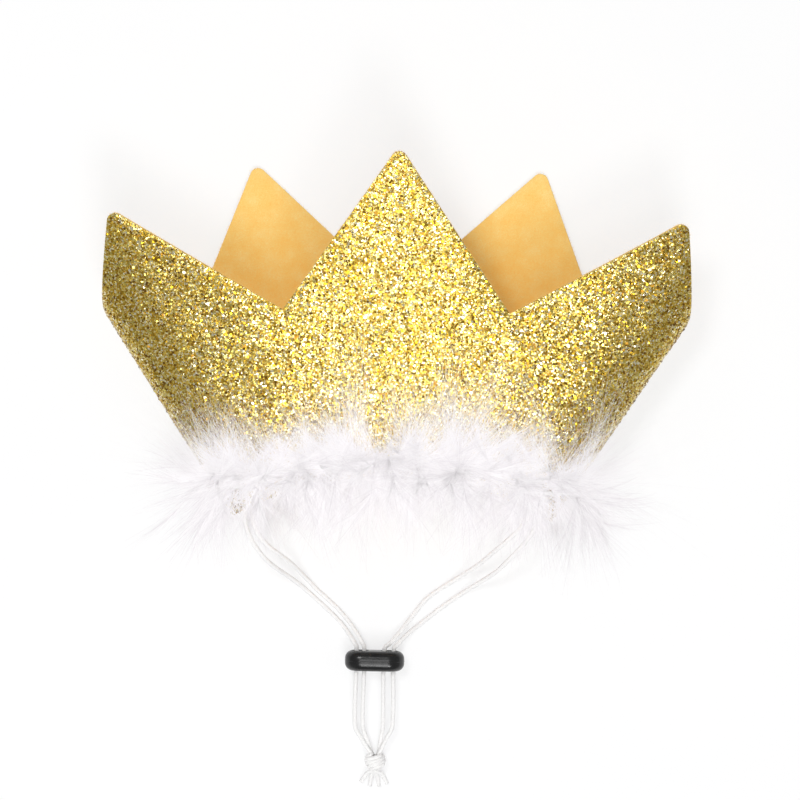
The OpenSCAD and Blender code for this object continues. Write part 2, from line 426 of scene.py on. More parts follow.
@dataclass(frozen=True)
class GlitterFlake:
    """One tint of loose polyester flake, metal coated and lacquered."""

    name: str
    code: str
    roughness: float
    mottle_mm: float = 7.0
    # How far the roughness goes up and down in patches, as a share of it
    mottle: float = 0.3
    lacquer: float = 0.42
    lacquer_gloss: float = 0.35

    def material(self) -> bpy.types.Material:
        """A small mirror of gold, a little duller in patches where lacquer lies on it.

        Returns:
            The material of this tint.
        """
        material, tree = new_material(f"metallised_polyester_flake_{self.name}")
        place = add_node(tree, "ShaderNodeTexCoord").outputs["Object"]
        patch = add_node(
            tree, "ShaderNodeTexNoise", {"Vector": place, "Scale": per_metre(self.mottle_mm)}
        )
        gloss = add_node(
            tree, "ShaderNodeMapRange",
            {
                "Value": patch.outputs["Fac"],
                "To Min": self.roughness * (1 - self.mottle),
                "To Max": self.roughness * (1 + self.mottle),
            },
        )
        shader = add_node(
            tree, "ShaderNodeBsdfPrincipled",
            {
                "Base Color": linear(self.code),
                "Metallic": 1.0,
                "Roughness": gloss.outputs["Result"],
                "Coat Weight": self.lacquer,
                "Coat Roughness": self.lacquer_gloss,
            },
        )
        add_node(tree, "ShaderNodeOutputMaterial", {"Surface": shader.outputs[0]})
        return material


@dataclass(frozen=True)
class NeedledFelt:
    """Acrylic craft felt, needled and pressed, with a short nap."""

    code: str = "#FFD57A"
    shade: str = "#FFC762"
    light: str = "#FFE59A"
    fuzz: str = "#FFE2A8"
    mottle_mm: float = 5.0
    # Fibres are far finer than this, which is the finest that shows in the render
    fibre_mm: float = 0.35
    nap_mm: float = 0.2
    # Share of the fibres in the tone, next to that of the patches
    grain: float = 0.65

    def material(self) -> bpy.types.Material:
        """Dull warm yellow with cloudy patches and a fine fibre grain.

        Returns:
            The felt's material.
        """
        material, tree = new_material("acrylic_felt_needled")
        place = add_node(tree, "ShaderNodeTexCoord").outputs["Object"]
        cloud = add_node(
            tree, "ShaderNodeTexNoise",
            {"Vector": place, "Scale": per_metre(self.mottle_mm), "Detail": 3.0},
        )
        fibres = add_node(
            tree, "ShaderNodeTexNoise",
            {
                "Vector": place, "Scale": per_metre(self.fibre_mm), "Detail": 3.0,
                "Distortion": 1.2,
            },
        )
        patches = add_node(
            tree, "ShaderNodeMath", {0: cloud.outputs["Fac"], 1: 1 - self.grain},
            operation="MULTIPLY",
        )
        mixed = add_node(
            tree, "ShaderNodeMath",
            {0: fibres.outputs["Fac"], 1: self.grain, 2: patches.outputs[0]},
            operation="MULTIPLY_ADD",
        )
        tone = add_node(tree, "ShaderNodeValToRGB", {"Fac": mixed.outputs[0]})
        set_ramp(tone, [(0.3, self.shade), (0.5, self.code), (0.7, self.light)])
        nap = add_node(
            tree, "ShaderNodeBump",
            {"Height": fibres.outputs["Fac"], "Strength": 0.5, "Distance": self.nap_mm * MM},
        )
        shader = add_node(
            tree, "ShaderNodeBsdfPrincipled",
            {
                "Base Color": tone.outputs["Color"],
                "Roughness": 0.95,
                "Sheen Weight": 0.25,
                "Sheen Roughness": 0.5,
                "Sheen Tint": linear(self.fuzz),
                "Normal": nap.outputs["Normal"],
            },
        )
        add_node(tree, "ShaderNodeOutputMaterial", {"Surface": shader.outputs[0]})
        return material


@dataclass(frozen=True)
class MarabouDown:
    """Bleached turkey down, steamed so that its barbs stand loose."""

    code: str = "#FFFDFE"
    shade: str = "#E6E2E5"
    # Painted shade: barbs seen from their lower side pass light through, but in this darker grey
    underside_shade: str = "#AEAAAD"
    # Slopes up to this mix the side that is lit and the lower side, which carries painted shade
    turn: float = 0.06
    # How far barbs are lit as if they faced up, so that they shade as one surface
    lift: float = 3.2
    # Share of the light from the lamps that goes past a barb
    open_share: float = 0.985

    def material(self) -> bpy.types.Material:
        """Soft white barbs, each its own white, lit as one fluffy surface that lets light past, with
        painted shade on their lower sides.

        Returns:
            The feathers' material.
        """
        material, tree = new_material("turkey_marabou_bleached")
        own = add_node(tree, "ShaderNodeAttribute", attribute_name=TONE).outputs["Fac"]
        tone = add_node(tree, "ShaderNodeValToRGB", {"Fac": own})
        set_ramp(tone, [(0.0, self.shade), (0.8, self.code)])
        lying = add_node(tree, "ShaderNodeNewGeometry").outputs["Normal"]
        above, below = (
            add_node(
                tree, "ShaderNodeVectorMath",
                {0: add_node(
                    tree, "ShaderNodeVectorMath", {0: lying, 1: (0.0, 0.0, lift)}, operation="ADD"
                ).outputs[0]},
                operation="NORMALIZE",
            ).outputs[0]
            for lift in (self.lift, -self.lift)
        )
        barb = add_node(
            tree, "ShaderNodeBsdfPrincipled",
            {
                "Base Color": tone.outputs["Color"],
                "Roughness": 0.6,
                "Specular IOR Level": 0.2,
                "Normal": above,
            },
        )
        # Light through the barbs' lower sides, in the darker grey of painted shade
        shaded_underside = add_node(
            tree, "ShaderNodeBsdfTranslucent", {"Color": linear(self.underside_shade), "Normal": below}
        )
        level = add_node(tree, "ShaderNodeSeparateXYZ", {"Vector": lying})
        turned = add_node(
            tree, "ShaderNodeMapRange",
            {
                "Value": level.outputs["Z"], "From Min": -self.turn, "From Max": self.turn,
                "To Min": 1.0, "To Max": 0.0,
            },
        )
        both = add_node(
            tree, "ShaderNodeMixShader",
            {0: turned.outputs["Result"], 1: barb.outputs[0], 2: shaded_underside.outputs[0]},
        )
        shadow = add_node(tree, "ShaderNodeLightPath").outputs["Is Shadow Ray"]
        gaps = add_node(
            tree, "ShaderNodeMath", {0: shadow, 1: self.open_share}, operation="MULTIPLY"
        )
        clear = add_node(tree, "ShaderNodeBsdfTransparent")
        airy = add_node(
            tree, "ShaderNodeMixShader",
            {0: gaps.outputs[0], 1: both.outputs[0], 2: clear.outputs[0]},
        )
        add_node(tree, "ShaderNodeOutputMaterial", {"Surface": airy.outputs[0]})
        return material


@dataclass(frozen=True)
class BraidedElastic:
    """White polyester yarn braided round a rubber core."""

    code: str = "#FBFAF9"
    # Painted shade for the hollows of the yarn relief
    shade: str = "#EFEEED"
    yarn_mm: float = 0.5
    yarn_h_mm: float = 0.05

    def material(self) -> bpy.types.Material:
        """Matt white yarn, with painted shade that greys it in the hollows of its relief.

        Returns:
            The elastic's material.
        """
        material, tree = new_material("polyester_elastic_braided")
        place = add_node(tree, "ShaderNodeTexCoord").outputs["Object"]
        yarn = add_node(
            tree, "ShaderNodeTexNoise",
            {"Vector": place, "Scale": per_metre(self.yarn_mm), "Detail": 2.0},
        )
        # The low end of the yarn noise is also the bump's hollows, so it takes the painted shade
        tone = add_node(tree, "ShaderNodeValToRGB", {"Fac": yarn.outputs["Fac"]})
        set_ramp(tone, [(0.3, self.shade), (0.6, self.code)])
        threads = add_node(
            tree, "ShaderNodeBump",
            {"Height": yarn.outputs["Fac"], "Strength": 0.3, "Distance": self.yarn_h_mm * MM},
        )
        shader = add_node(
            tree, "ShaderNodeBsdfPrincipled",
            {
                "Base Color": tone.outputs["Color"],
                "Roughness": 0.7,
                "Sheen Weight": 0.15,
                "Normal": threads.outputs["Normal"],
            },
        )
        add_node(tree, "ShaderNodeOutputMaterial", {"Surface": shader.outputs[0]})
        return material


@dataclass(frozen=True)
class MouldedPlastic:
    """Black acetal, moulded in a polished tool."""

    code: str = "#0D0D0E"
    worn: str = "#1A1A1B"
    smear_mm: float = 3.0
    grain_mm: float = 0.3
    grain_h_mm: float = 0.03
    # Roughness where the shine is clear and where it is dulled
    gloss: tuple[float, float] = (0.16, 0.34)

    def material(self) -> bpy.types.Material:
        """Deep black with a clear shine that handling has dulled in patches.

        Returns:
            The cord lock's material.
        """
        material, tree = new_material("acetal_black_moulded")
        place = add_node(tree, "ShaderNodeTexCoord").outputs["Object"]
        smear = add_node(
            tree, "ShaderNodeTexNoise",
            {"Vector": place, "Scale": per_metre(self.smear_mm), "Detail": 4.0},
        )
        grain = add_node(
            tree, "ShaderNodeTexNoise", {"Vector": place, "Scale": per_metre(self.grain_mm)}
        )
        tone = add_node(tree, "ShaderNodeValToRGB", {"Fac": smear.outputs["Fac"]})
        set_ramp(tone, [(0.4, self.code), (0.8, self.worn)])
        gloss = add_node(
            tree, "ShaderNodeMapRange",
            {
                "Value": smear.outputs["Fac"],
                "To Min": self.gloss[0],
                "To Max": self.gloss[1],
            },
        )
        skin = add_node(
            tree, "ShaderNodeBump",
            {"Height": grain.outputs["Fac"], "Strength": 0.12, "Distance": self.grain_h_mm * MM},
        )
        shader = add_node(
            tree, "ShaderNodeBsdfPrincipled",
            {
                "Base Color": tone.outputs["Color"],
                "Roughness": gloss.outputs["Result"],
                "IOR": 1.48,
                "Normal": skin.outputs["Normal"],
            },
        )
        add_node(tree, "ShaderNodeOutputMaterial", {"Surface": shader.outputs[0]})
        return material


@dataclass(frozen=True)
class PaperSweep:
    """White background paper on the table."""

    code: str = "#FDFDFD"
    shade: str = "#FAFAFB"
    patch_mm: float = 90.0
    # Share of plain white in what the camera and mirrors see
    white: float = 0.68

    def material(self) -> bpy.types.Material:
        """Plain matt white that keeps the soft shadows and is seen a little whiter than it lights.

        Returns:
            The floor's material.
        """
        material, tree = new_material("white_paper_sweep")
        place = add_node(tree, "ShaderNodeTexCoord").outputs["Object"]
        patch = add_node(
            tree, "ShaderNodeTexNoise", {"Vector": place, "Scale": per_metre(self.patch_mm)}
        )
        tone = add_node(tree, "ShaderNodeValToRGB", {"Fac": patch.outputs["Fac"]})
        set_ramp(tone, [(0.3, self.shade), (0.7, self.code)])
        paper = add_node(
            tree, "ShaderNodeBsdfPrincipled",
            {"Base Color": tone.outputs["Color"], "Roughness": 0.9, "Specular IOR Level": 0.1},
        )
        plain = add_node(
            tree, "ShaderNodeEmission", {"Color": linear("#FFFFFF"), "Strength": 1.0}
        )
        rays = add_node(tree, "ShaderNodeLightPath")
        mirrored = add_node(
            tree, "ShaderNodeMath",
            {0: rays.outputs["Is Glossy Ray"], 1: rays.outputs["Is Transmission Ray"]},
            operation="MAXIMUM",
        )
        seen = add_node(
            tree, "ShaderNodeMath", {0: rays.outputs["Is Camera Ray"], 1: mirrored.outputs[0]},
            operation="MAXIMUM",
        )
        share = add_node(
            tree, "ShaderNodeMath", {0: seen.outputs[0], 1: self.white}, operation="MULTIPLY"
        )
        shown = add_node(
            tree, "ShaderNodeMixShader",
            {0: share.outputs[0], 1: paper.outputs[0], 2: plain.outputs[0]},
        )
        add_node(tree, "ShaderNodeOutputMaterial", {"Surface": shown.outputs[0]})
        return material


# The lying cone that the band, its lining and the trim share


@dataclass(frozen=True)
class ConeForm:
    """Oval cone lying on its back, with sizes in millimetres and arcs in degrees of the flat cut."""

    point_count: int = 5
    band_h: float = 59.0
    point_h: float = 50.0
    base_w: float = 103.5
    rim_w: float = 168.0
    rim_h: float = 38.0
    tip_r: float = 2.7
    glitter_t: float = 0.5
    felt_t: float = 1.1
    lap_w: float = 8.0
    lap_gap: float = 0.1
    step_share: float = 0.9
    # How far the feathers hold the base edge off the floor
    trim_press: float = 7.0
    ray_step: float = 0.5
    seat_samples: int = 4001
    buckle_h: float = 0.22
    # How fast the buckling sets in above the base edge
    buckle_start: float = 2.5
    # Each wave's share, its count round the ring, its turn on the way up and its start
    buckle_waves: tuple[tuple[float, float, float, float], ...] = (
        (1.0, 3.0, 2.1, 0.4), (0.6, 7.0, -3.7, 1.9), (0.35, 16.0, 5.0, 0.0),
    )

    @cached_property
    def base_r(self) -> float:
        """Slant length from the apex to the base edge."""
        return self.band_h * self.base_w / (self.rim_w - self.base_w)

    @cached_property
    def valley_r(self) -> float:
        """Slant length from the apex to a valley."""
        return self.base_r + self.band_h

    @cached_property
    def tip_sharp_r(self) -> float:
        """Slant length from the apex to a point's sharp corner."""
        return self.valley_r + self.point_h

    @cached_property
    def wall_t(self) -> float:
        """Thickness of both plies."""
        return self.glitter_t + self.felt_t

    @cached_property
    def spread(self) -> tuple[float, float]:
        """Spread of the cone.

        Returns:
            Tangents of its half angles across and up.
        """
        across = math.asin(self.rim_w / 2 / self.valley_r)
        up = math.asin(self.rim_h / 2 / self.valley_r)
        return math.tan(across), math.tan(up)

    @cached_property
    def lay_tilt(self) -> float:
        """Lift of the cone's axis off the floor, in radians."""
        half_up = math.asin(self.rim_h / 2 / self.valley_r)
        return half_up - math.atan(self.trim_press / (self.tip_sharp_r - self.base_r))

    @cached_property
    def arc_table(self) -> tuple[np.ndarray, np.ndarray]:
        """Table that turns arcs into angles.

        Returns:
            Arcs along the oval from its front, and the oval's angles there.
        """
        turns = np.arange(-180, 180 + self.ray_step / 2, self.ray_step)
        rays = self.ray(turns)
        steps = np.degrees(np.arccos(np.minimum(1, (rays[1:] * rays[:-1]).sum(-1))))
        arcs = np.concatenate([[0], np.cumsum(steps)])
        return arcs - arcs[-1] / 2, turns

    @cached_property
    def sector(self) -> float:
        """Angle of the flat cut."""
        return float(2 * self.arc_table[0][-1])

    @cached_property
    def pitch(self) -> float:
        """Arc from one point to the next."""
        return self.sector / self.point_count

    @cached_property
    def lap_arc(self) -> float:
        """Arc of the glued lap."""
        return math.degrees(self.lap_w / self.base_r)

    def ray(self, turn: np.ndarray) -> np.ndarray:
        """Directions of the cone's straight lines.

        Args:
            turn: Angles round the oval, in degrees.

        Returns:
            Unit vectors away from the apex.
        """
        a = np.radians(turn)
        across, up = self.spread
        return unit(np.stack([across * np.sin(a), np.ones_like(a), up * np.cos(a)], -1))

    def outward(self, turn: np.ndarray) -> np.ndarray:
        """Unit vectors out of the cone, at angles round the oval."""
        ahead = self.ray(turn + self.ray_step) - self.ray(turn - self.ray_step)
        return unit(np.cross(ahead, self.ray(turn)))

    def turn_at(self, arc: np.ndarray) -> np.ndarray:
        """Angles round the oval at arcs, which may run on past the lap."""
        wrapped = arc - self.sector * np.round(arc / self.sector)
        return np.interp(wrapped, *self.arc_table)

    def arc_at(self, turn: float) -> float:
        """Arc at an angle round the oval."""
        return float(np.interp(turn, self.arc_table[1], self.arc_table[0]))

    @cached_property
    def tip_corner(self) -> tuple[np.ndarray, np.ndarray, float, float]:
        """Flat cut of one point, which lies along X from the apex.

        Returns:
            Its sharp corner, the edge from there to a valley, the slant length to the middle of
            its rounding, and the arc where the rounding ends.
        """
        half = math.radians(self.pitch / 2)
        tip = np.array([self.tip_sharp_r, 0.0])
        edge = self.valley_r * np.array([math.cos(half), math.sin(half)]) - tip
        half_angle = math.atan2(edge[1], -edge[0])
        middle = self.tip_sharp_r - self.tip_r / math.sin(half_angle)
        end = tip + unit(edge) * self.tip_r / math.tan(half_angle)
        return tip, edge, middle, math.degrees(math.atan2(end[1], end[0]))

    def rim_r(self, arc: np.ndarray) -> np.ndarray:
        """Slant lengths to the rim, with straight edges between sharp valleys and rounded tips.

        Args:
            arc: Arcs round the ring.

        Returns:
            One slant length an arc.
        """
        tip, edge, middle, round_end = self.tip_corner
        away = np.abs(arc - self.pitch * np.round(arc / self.pitch))
        a = np.radians(away)
        straight = (tip[0] * edge[1] - tip[1] * edge[0]) / (
            np.cos(a) * edge[1] - np.sin(a) * edge[0]
        )
        rounded = middle * np.cos(a) + np.sqrt(
            np.maximum(0, self.tip_r ** 2 - (middle * np.sin(a)) ** 2)
        )
        return np.where(away < round_end, rounded, straight)

    def lap_in(self, arc: np.ndarray) -> np.ndarray:
        """How far the far end steps inside the near end at the lap.

        Args:
            arc: Arcs round the ring.

        Returns:
            Distances towards the inside.
        """
        step = self.lap_arc * self.step_share
        start = self.sector / 2 - self.lap_arc / 2
        return (self.wall_t + self.lap_gap) * eased((arc - start + step) / step)

    def tilted(self, points: np.ndarray) -> np.ndarray:
        """Turn points from the cone's own frame to the lying one.

        Args:
            points: Points or directions.

        Returns:
            The same ones, turned about X.
        """
        c, s = math.cos(self.lay_tilt), math.sin(self.lay_tilt)
        x, y, z = points[..., 0], points[..., 1], points[..., 2]
        return np.stack([x, y * c - z * s, y * s + z * c], -1)

    def raw(self, arc: np.ndarray, slant: np.ndarray, off: np.ndarray) -> np.ndarray:
        """Points of the lying crown, measured from the apex.

        Args:
            arc: Arcs round the ring.
            slant: Slant lengths from the apex.
            off: Heights off the felt's inner face.

        Returns:
            The points.
        """
        turn = self.turn_at(arc)
        slant, off = np.asarray(slant)[..., None], np.asarray(off)[..., None]
        return self.tilted(slant * self.ray(turn) + off * self.outward(turn))

    @cached_property
    def seat(self) -> np.ndarray:
        """Place of the apex in the shared frame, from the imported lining's far edge.

        Returns:
            The place that sets the lowest rim on the floor.
        """
        arcs = np.linspace(-self.sector / 2, self.sector / 2, self.seat_samples)
        rims = self.rim_r(arcs)
        inner = self.raw(arcs, rims, np.zeros_like(arcs))
        outer = self.raw(arcs, rims, np.full_like(arcs, self.wall_t))
        low = outer[:, 2].min()
        far = max(inner[:, 1].max(), outer[:, 1].max())
        return np.array([0.0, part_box("felt_lining")[1].y / MM - far, -low])

    def laid(self, arc: np.ndarray, slant: np.ndarray, off: np.ndarray) -> np.ndarray:
        """Points of the lying crown in the shared frame."""
        return self.raw(arc, slant, off) + self.seat

    def frame_at(self, arc: np.ndarray) -> tuple[np.ndarray, np.ndarray, np.ndarray]:
        """Directions at arcs.

        Args:
            arc: Arcs round the ring.

        Returns:
            Unit vectors towards the points, out of the band, and round the ring.
        """
        turn = self.turn_at(arc)
        ahead, out = self.tilted(self.ray(turn)), self.tilted(self.outward(turn))
        return ahead, out, np.cross(ahead, out)

    def buckle(self, arc: np.ndarray, slant: np.ndarray) -> np.ndarray:
        """Slight buckling of the sheet, which dies out where the crown lies on the floor.

        Args:
            arc: Arcs round the ring.
            slant: Slant lengths from the apex.

        Returns:
            Heights off the true cone.
        """
        a = np.radians(arc / self.sector * 360)
        climb = (slant - self.base_r) / (self.tip_sharp_r - self.base_r)
        wave = sum(
            share * np.sin(count * a + rising * climb + start)
            for share, count, rising, start in self.buckle_waves
        )
        free = (1 + np.cos(np.radians(self.turn_at(arc)))) / 2
        return self.buckle_h * wave * free * eased(climb * self.buckle_start)


# Sub-assemblies


@dataclass
class Band:
    """The crown's wall: a glitter ply outside and a felt ply inside, with loose flakes and fibres."""

    form: ConeForm
    tip_steps: int = 6
    edge_steps: int = 26
    lap_steps: int = 6
    slant_rows: int = 26
    round_steps: int = 3
    glitter_round: float = 0.16
    felt_round: float = 0.4
    area_samples: int = 20001
    hole_d: float = 2.8
    hole_sides: int = 24
    # Place of the right side's holes, and the heights between which they are cut
    hole_at: tuple[float, float] = (47.83, -46.9)
    hole_z: tuple[float, float] = (-5.0, 45.0)
    flake_count: int = 30000
    # Flakes drawn for each one that is kept, because some fall beside the points
    flake_draws: int = 3
    flake_corners: int = 6
    flake_mm: tuple[float, float] = (0.26, 0.5)
    flake_lift: tuple[float, float] = (0.04, 0.16)
    flake_tilt: float = 0.15
    flake_margin: float = 0.9
    flake_floor: float = 0.02
    # Shares of the bronze, gold, bright and pale flakes
    flake_shares: tuple[float, ...] = (0.22, 0.38, 0.28, 0.12)
    fibre_count: int = 9000
    fibre_steps: int = 4
    fibre_mm: tuple[float, float] = (0.3, 0.84)
    fibre_width: float = 0.05
    # Depth of the roots in the cut edge, their place across it, and their height on the face
    fibre_root: float = 0.05
    fibre_place: tuple[float, float] = (0.1, 1.0)
    fibre_off: float = 0.03
    fibre_spread: float = 0.7
    fibre_curl: float = 0.5
    fibre_turn: float = 0.3
    fibre_floor: float = 0.05
    pieces: dict[str, bpy.types.Object] = field(default_factory=dict)

    def columns(self) -> np.ndarray:
        """Arcs of the band's columns.

        Returns:
            Arcs from one lap end to the other, closer together at the tips.
        """
        form = self.form
        round_end = form.tip_corner[3]
        half = np.concatenate([
            np.linspace(0, round_end, self.tip_steps, endpoint=False),
            np.linspace(round_end, form.pitch / 2, self.edge_steps, endpoint=False),
        ])
        point = np.concatenate([-half[:0:-1], half])
        valley = np.array([form.pitch / 2])
        tips = (np.arange(form.point_count) - (form.point_count - 1) / 2) * form.pitch
        ring = np.concatenate([np.concatenate([t + point, t + valley]) for t in tips])
        lap = np.linspace(0, form.lap_arc / 2, self.lap_steps + 1)[1:]
        return np.concatenate([
            -form.sector / 2 - lap[::-1], [-form.sector / 2], ring, form.sector / 2 + lap
        ])

    def ply(self, name: str, inner: float, outer: float, rounding: float) -> bpy.types.Object:
        """Build one ply as a closed sheet with rounded cut edges.

        Args:
            name: Name of the piece.
            inner: Height of its inner face off the felt's inner face.
            outer: Height of its outer face.
            rounding: Radius of its cut edges.

        Returns:
            The ply, with the punched holes cut out.
        """
        form, arcs = self.form, self.columns()
        climb = np.linspace(0, 1, self.slant_rows)
        turn = np.radians(np.linspace(0, 90, self.round_steps + 1))
        falling = rounding * (1 - np.cos(turn))
        rising = rounding * (1 - np.sin(turn))
        rim, base = form.rim_r(arcs)[:, None], np.full((len(arcs), 1), form.base_r)
        run = base + rounding + (rim - base - 2 * rounding) * climb
        slants = np.hstack([
            base + falling[:-1], run, rim - rising[1:],
            rim - falling[:-1], run[:, ::-1], base + rising[1:],
        ])
        level = np.zeros(self.slant_rows)
        heights = np.concatenate([
            outer - rising[:-1], outer - level, outer - falling[1:],
            inner + rising[:-1], inner + level, inner + falling[1:],
        ])
        grid = np.repeat(arcs[:, None], slants.shape[1], axis=1)
        heights = heights - form.lap_in(grid) + form.buckle(grid, slants)
        around = slants.shape[1]
        faces = np.vstack([grid_faces(len(arcs), around), end_faces(len(arcs), around)])
        piece = mesh_piece(name, form.laid(grid, slants, heights).reshape(-1, 3), faces)
        turn_outward(piece)
        self.punch(piece)
        return piece

    def punch(self, piece: bpy.types.Object) -> None:
        """Cut the elastics' holes through a ply.

        Args:
            piece: The ply.
        """
        turn = np.linspace(0, 2 * np.pi, self.hole_sides, endpoint=False)
        ring = np.stack([np.cos(turn), np.sin(turn)], -1) * self.hole_d / 2
        for side in Side:
            middle = np.array([side.value * self.hole_at[0], self.hole_at[1]])
            rows = [np.insert(ring + middle, 2, z, axis=1) for z in self.hole_z]
            wall = mesh_piece("punch", np.vstack(rows), grid_faces(len(rows), self.hole_sides))
            turn_outward(wall, fill=True)
            cut = piece.modifiers.new("punch", "BOOLEAN")
            cut.operation, cut.solver, cut.object = "DIFFERENCE", "EXACT", wall
            graph = bpy.context.evaluated_depsgraph_get()
            mesh = bpy.data.meshes.new_from_object(piece.evaluated_get(graph))
            piece.modifiers.clear()
            old, piece.data = piece.data, mesh
            mesh.name = piece.name
            bpy.data.meshes.remove(old)
            bpy.data.objects.remove(wall)

    def flakes(self) -> bpy.types.Object:
        """Scatter loose flakes on the outside, each lying its own way.

        Returns:
            All flakes as one piece.
        """
        form, rng = self.form, np.random.default_rng(11)
        many = self.flake_count * self.flake_draws
        arc = rng.uniform(-form.sector / 2, form.sector / 2, many)
        slant = np.sqrt(rng.uniform(form.base_r ** 2, form.tip_sharp_r ** 2, many))
        keep = slant < form.rim_r(arc) - self.flake_margin
        arc, slant = arc[keep][:self.flake_count], slant[keep][:self.flake_count]
        count = len(arc)
        lift = form.wall_t + rng.uniform(*self.flake_lift, count)
        middle = form.laid(arc, slant, lift - form.lap_in(arc) + form.buckle(arc, slant))
        ahead, out, along = form.frame_at(arc)
        lean = rng.normal(0, self.flake_tilt, (count, 2, 1))
        facing = unit(out + lean[:, 0] * ahead + lean[:, 1] * along)
        spin = rng.uniform(0, np.pi, count)[:, None]
        first = unit(np.cross(facing, np.cos(spin) * ahead + np.sin(spin) * along))
        second = np.cross(facing, first)
        reach = rng.uniform(*self.flake_mm, count)[:, None, None]
        turn = np.linspace(0, 2 * np.pi, self.flake_corners, endpoint=False)[None, :, None]
        corners = middle[:, None] + reach * (
            np.cos(turn) * first[:, None] + np.sin(turn) * second[:, None]
        )
        corners = corners[corners[:, :, 2].min(1) > self.flake_floor]
        count = len(corners)
        faces = np.arange(count * self.flake_corners).reshape(count, self.flake_corners)
        piece = mesh_piece("glitter_flakes", corners.reshape(-1, 3), faces, smooth=False)
        tint = rng.choice(len(self.flake_shares), count, p=self.flake_shares)
        piece.data.polygons.foreach_set("material_index", tint.astype(np.int32))
        return piece

    def fibres(self) -> bpy.types.Object:
        """Raise the felt's nap along its cut edges and over its inner face.

        Returns:
            All fibres as one piece.
        """
        form, rng = self.form, np.random.default_rng(23)
        count = self.fibre_count
        on_edge = np.arange(count) < count // 2
        arc = rng.uniform(-form.sector / 2, form.sector / 2, count)
        rim = form.rim_r(arc)
        on_face = form.base_r + (rim - form.base_r) * np.sqrt(rng.uniform(0, 1, count))
        slant = np.where(on_edge, rim - self.fibre_root, on_face)
        across = rng.uniform(*self.fibre_place, count) * form.felt_t
        off = np.where(on_edge, across, self.fibre_off)
        root = form.laid(arc, slant, off - form.lap_in(arc) + form.buckle(arc, slant))
        ahead, out, _ = form.frame_at(arc)
        way = np.where(on_edge[:, None], ahead, -out)
        way = unit(way + rng.normal(0, self.fibre_spread, (count, 3)))
        reach = rng.uniform(*self.fibre_mm, count)[:, None]
        curl = rng.normal(0, self.fibre_curl, (count, 3))
        lines = bent_lines(root, way, reach, curl, self.fibre_steps)
        lines[..., 2] = np.maximum(lines[..., 2], self.fibre_floor)
        facing = UP + self.fibre_turn * rng.normal(size=(count, 3))
        widths = np.full(count, self.fibre_width)
        return ribbons("felt_fibres", lines, widths, facing, np.ones(count))

    def build(self) -> None:
        """Make the plies, the flakes and the fibres."""
        form = self.form
        self.pieces["glitter_ply"] = self.ply(
            "glitter_ply", form.felt_t, form.wall_t, self.glitter_round
        )
        self.pieces["felt_ply"] = self.ply("felt_ply", 0.0, form.felt_t, self.felt_round)
        self.pieces["glitter_flakes"] = self.flakes()
        self.pieces["felt_fibres"] = self.fibres()

    def flat_area(self) -> float:
        """Area of the flat cut.

        Returns:
            Square millimetres.
        """
        form = self.form
        arcs = np.linspace(-form.sector / 2, form.sector / 2, self.area_samples)
        wedges = (form.rim_r(arcs) ** 2 - form.base_r ** 2) / 2
        return float(np.mean(wedges) * math.radians(form.sector))

    def dress(self) -> None:
        """Give each piece its finish and its place in the frame."""
        sheet = GlitterSheet()
        tints = [
            GlitterFlake("bronze", sheet.bronze, 0.3),
            GlitterFlake("gold", sheet.gold, 0.22),
            GlitterFlake("bright", sheet.bright, 0.2),
            GlitterFlake("pale", sheet.pale, 0.18),
        ]
        felt = NeedledFelt().material()
        ply, flakes = self.pieces["glitter_ply"], self.pieces["glitter_flakes"]
        lining, fibres = self.pieces["felt_ply"], self.pieces["felt_fibres"]
        ply.data.materials.append(sheet.material())
        for tint in tints:
            flakes.data.materials.append(tint.material())
        lining.data.materials.append(felt)
        fibres.data.materials.append(felt)
        for piece in self.pieces.values():
            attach(piece, Body.CROWN.value)
        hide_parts("glitter_shell")
        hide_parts("felt_lining")
        area = self.flat_area() * MM ** 2


@dataclass(frozen=True)
class Barbs:
    """Many loose barbs: their lines, and each one's root arc, facing, width and tone."""

    lines: np.ndarray
    arcs: np.ndarray
    facing: np.ndarray
    widths: np.ndarray
    tones: np.ndarray


@dataclass(frozen=True)
class LooseLay:
    """How barbs of one kind lie that start round the ring on their own or in wisps.

    The number of wisps is that of the barbs where each one stands on its own. The roots' rise is
    measured from the base edge, and they may sag below the trim's line by a share of its climb.
    The lie is a mean direction, as shares towards the points, out of the band and round the ring,
    and the spread and the curl say how far directions and bends differ from it.
    """

    count: int
    wisps: int
    rise: tuple[float, float]
    reach: tuple[float, float]
    width: tuple[float, float]
    lie: tuple[float, float, float]
    spread: float
    curl: float
    sag: float = 0.0


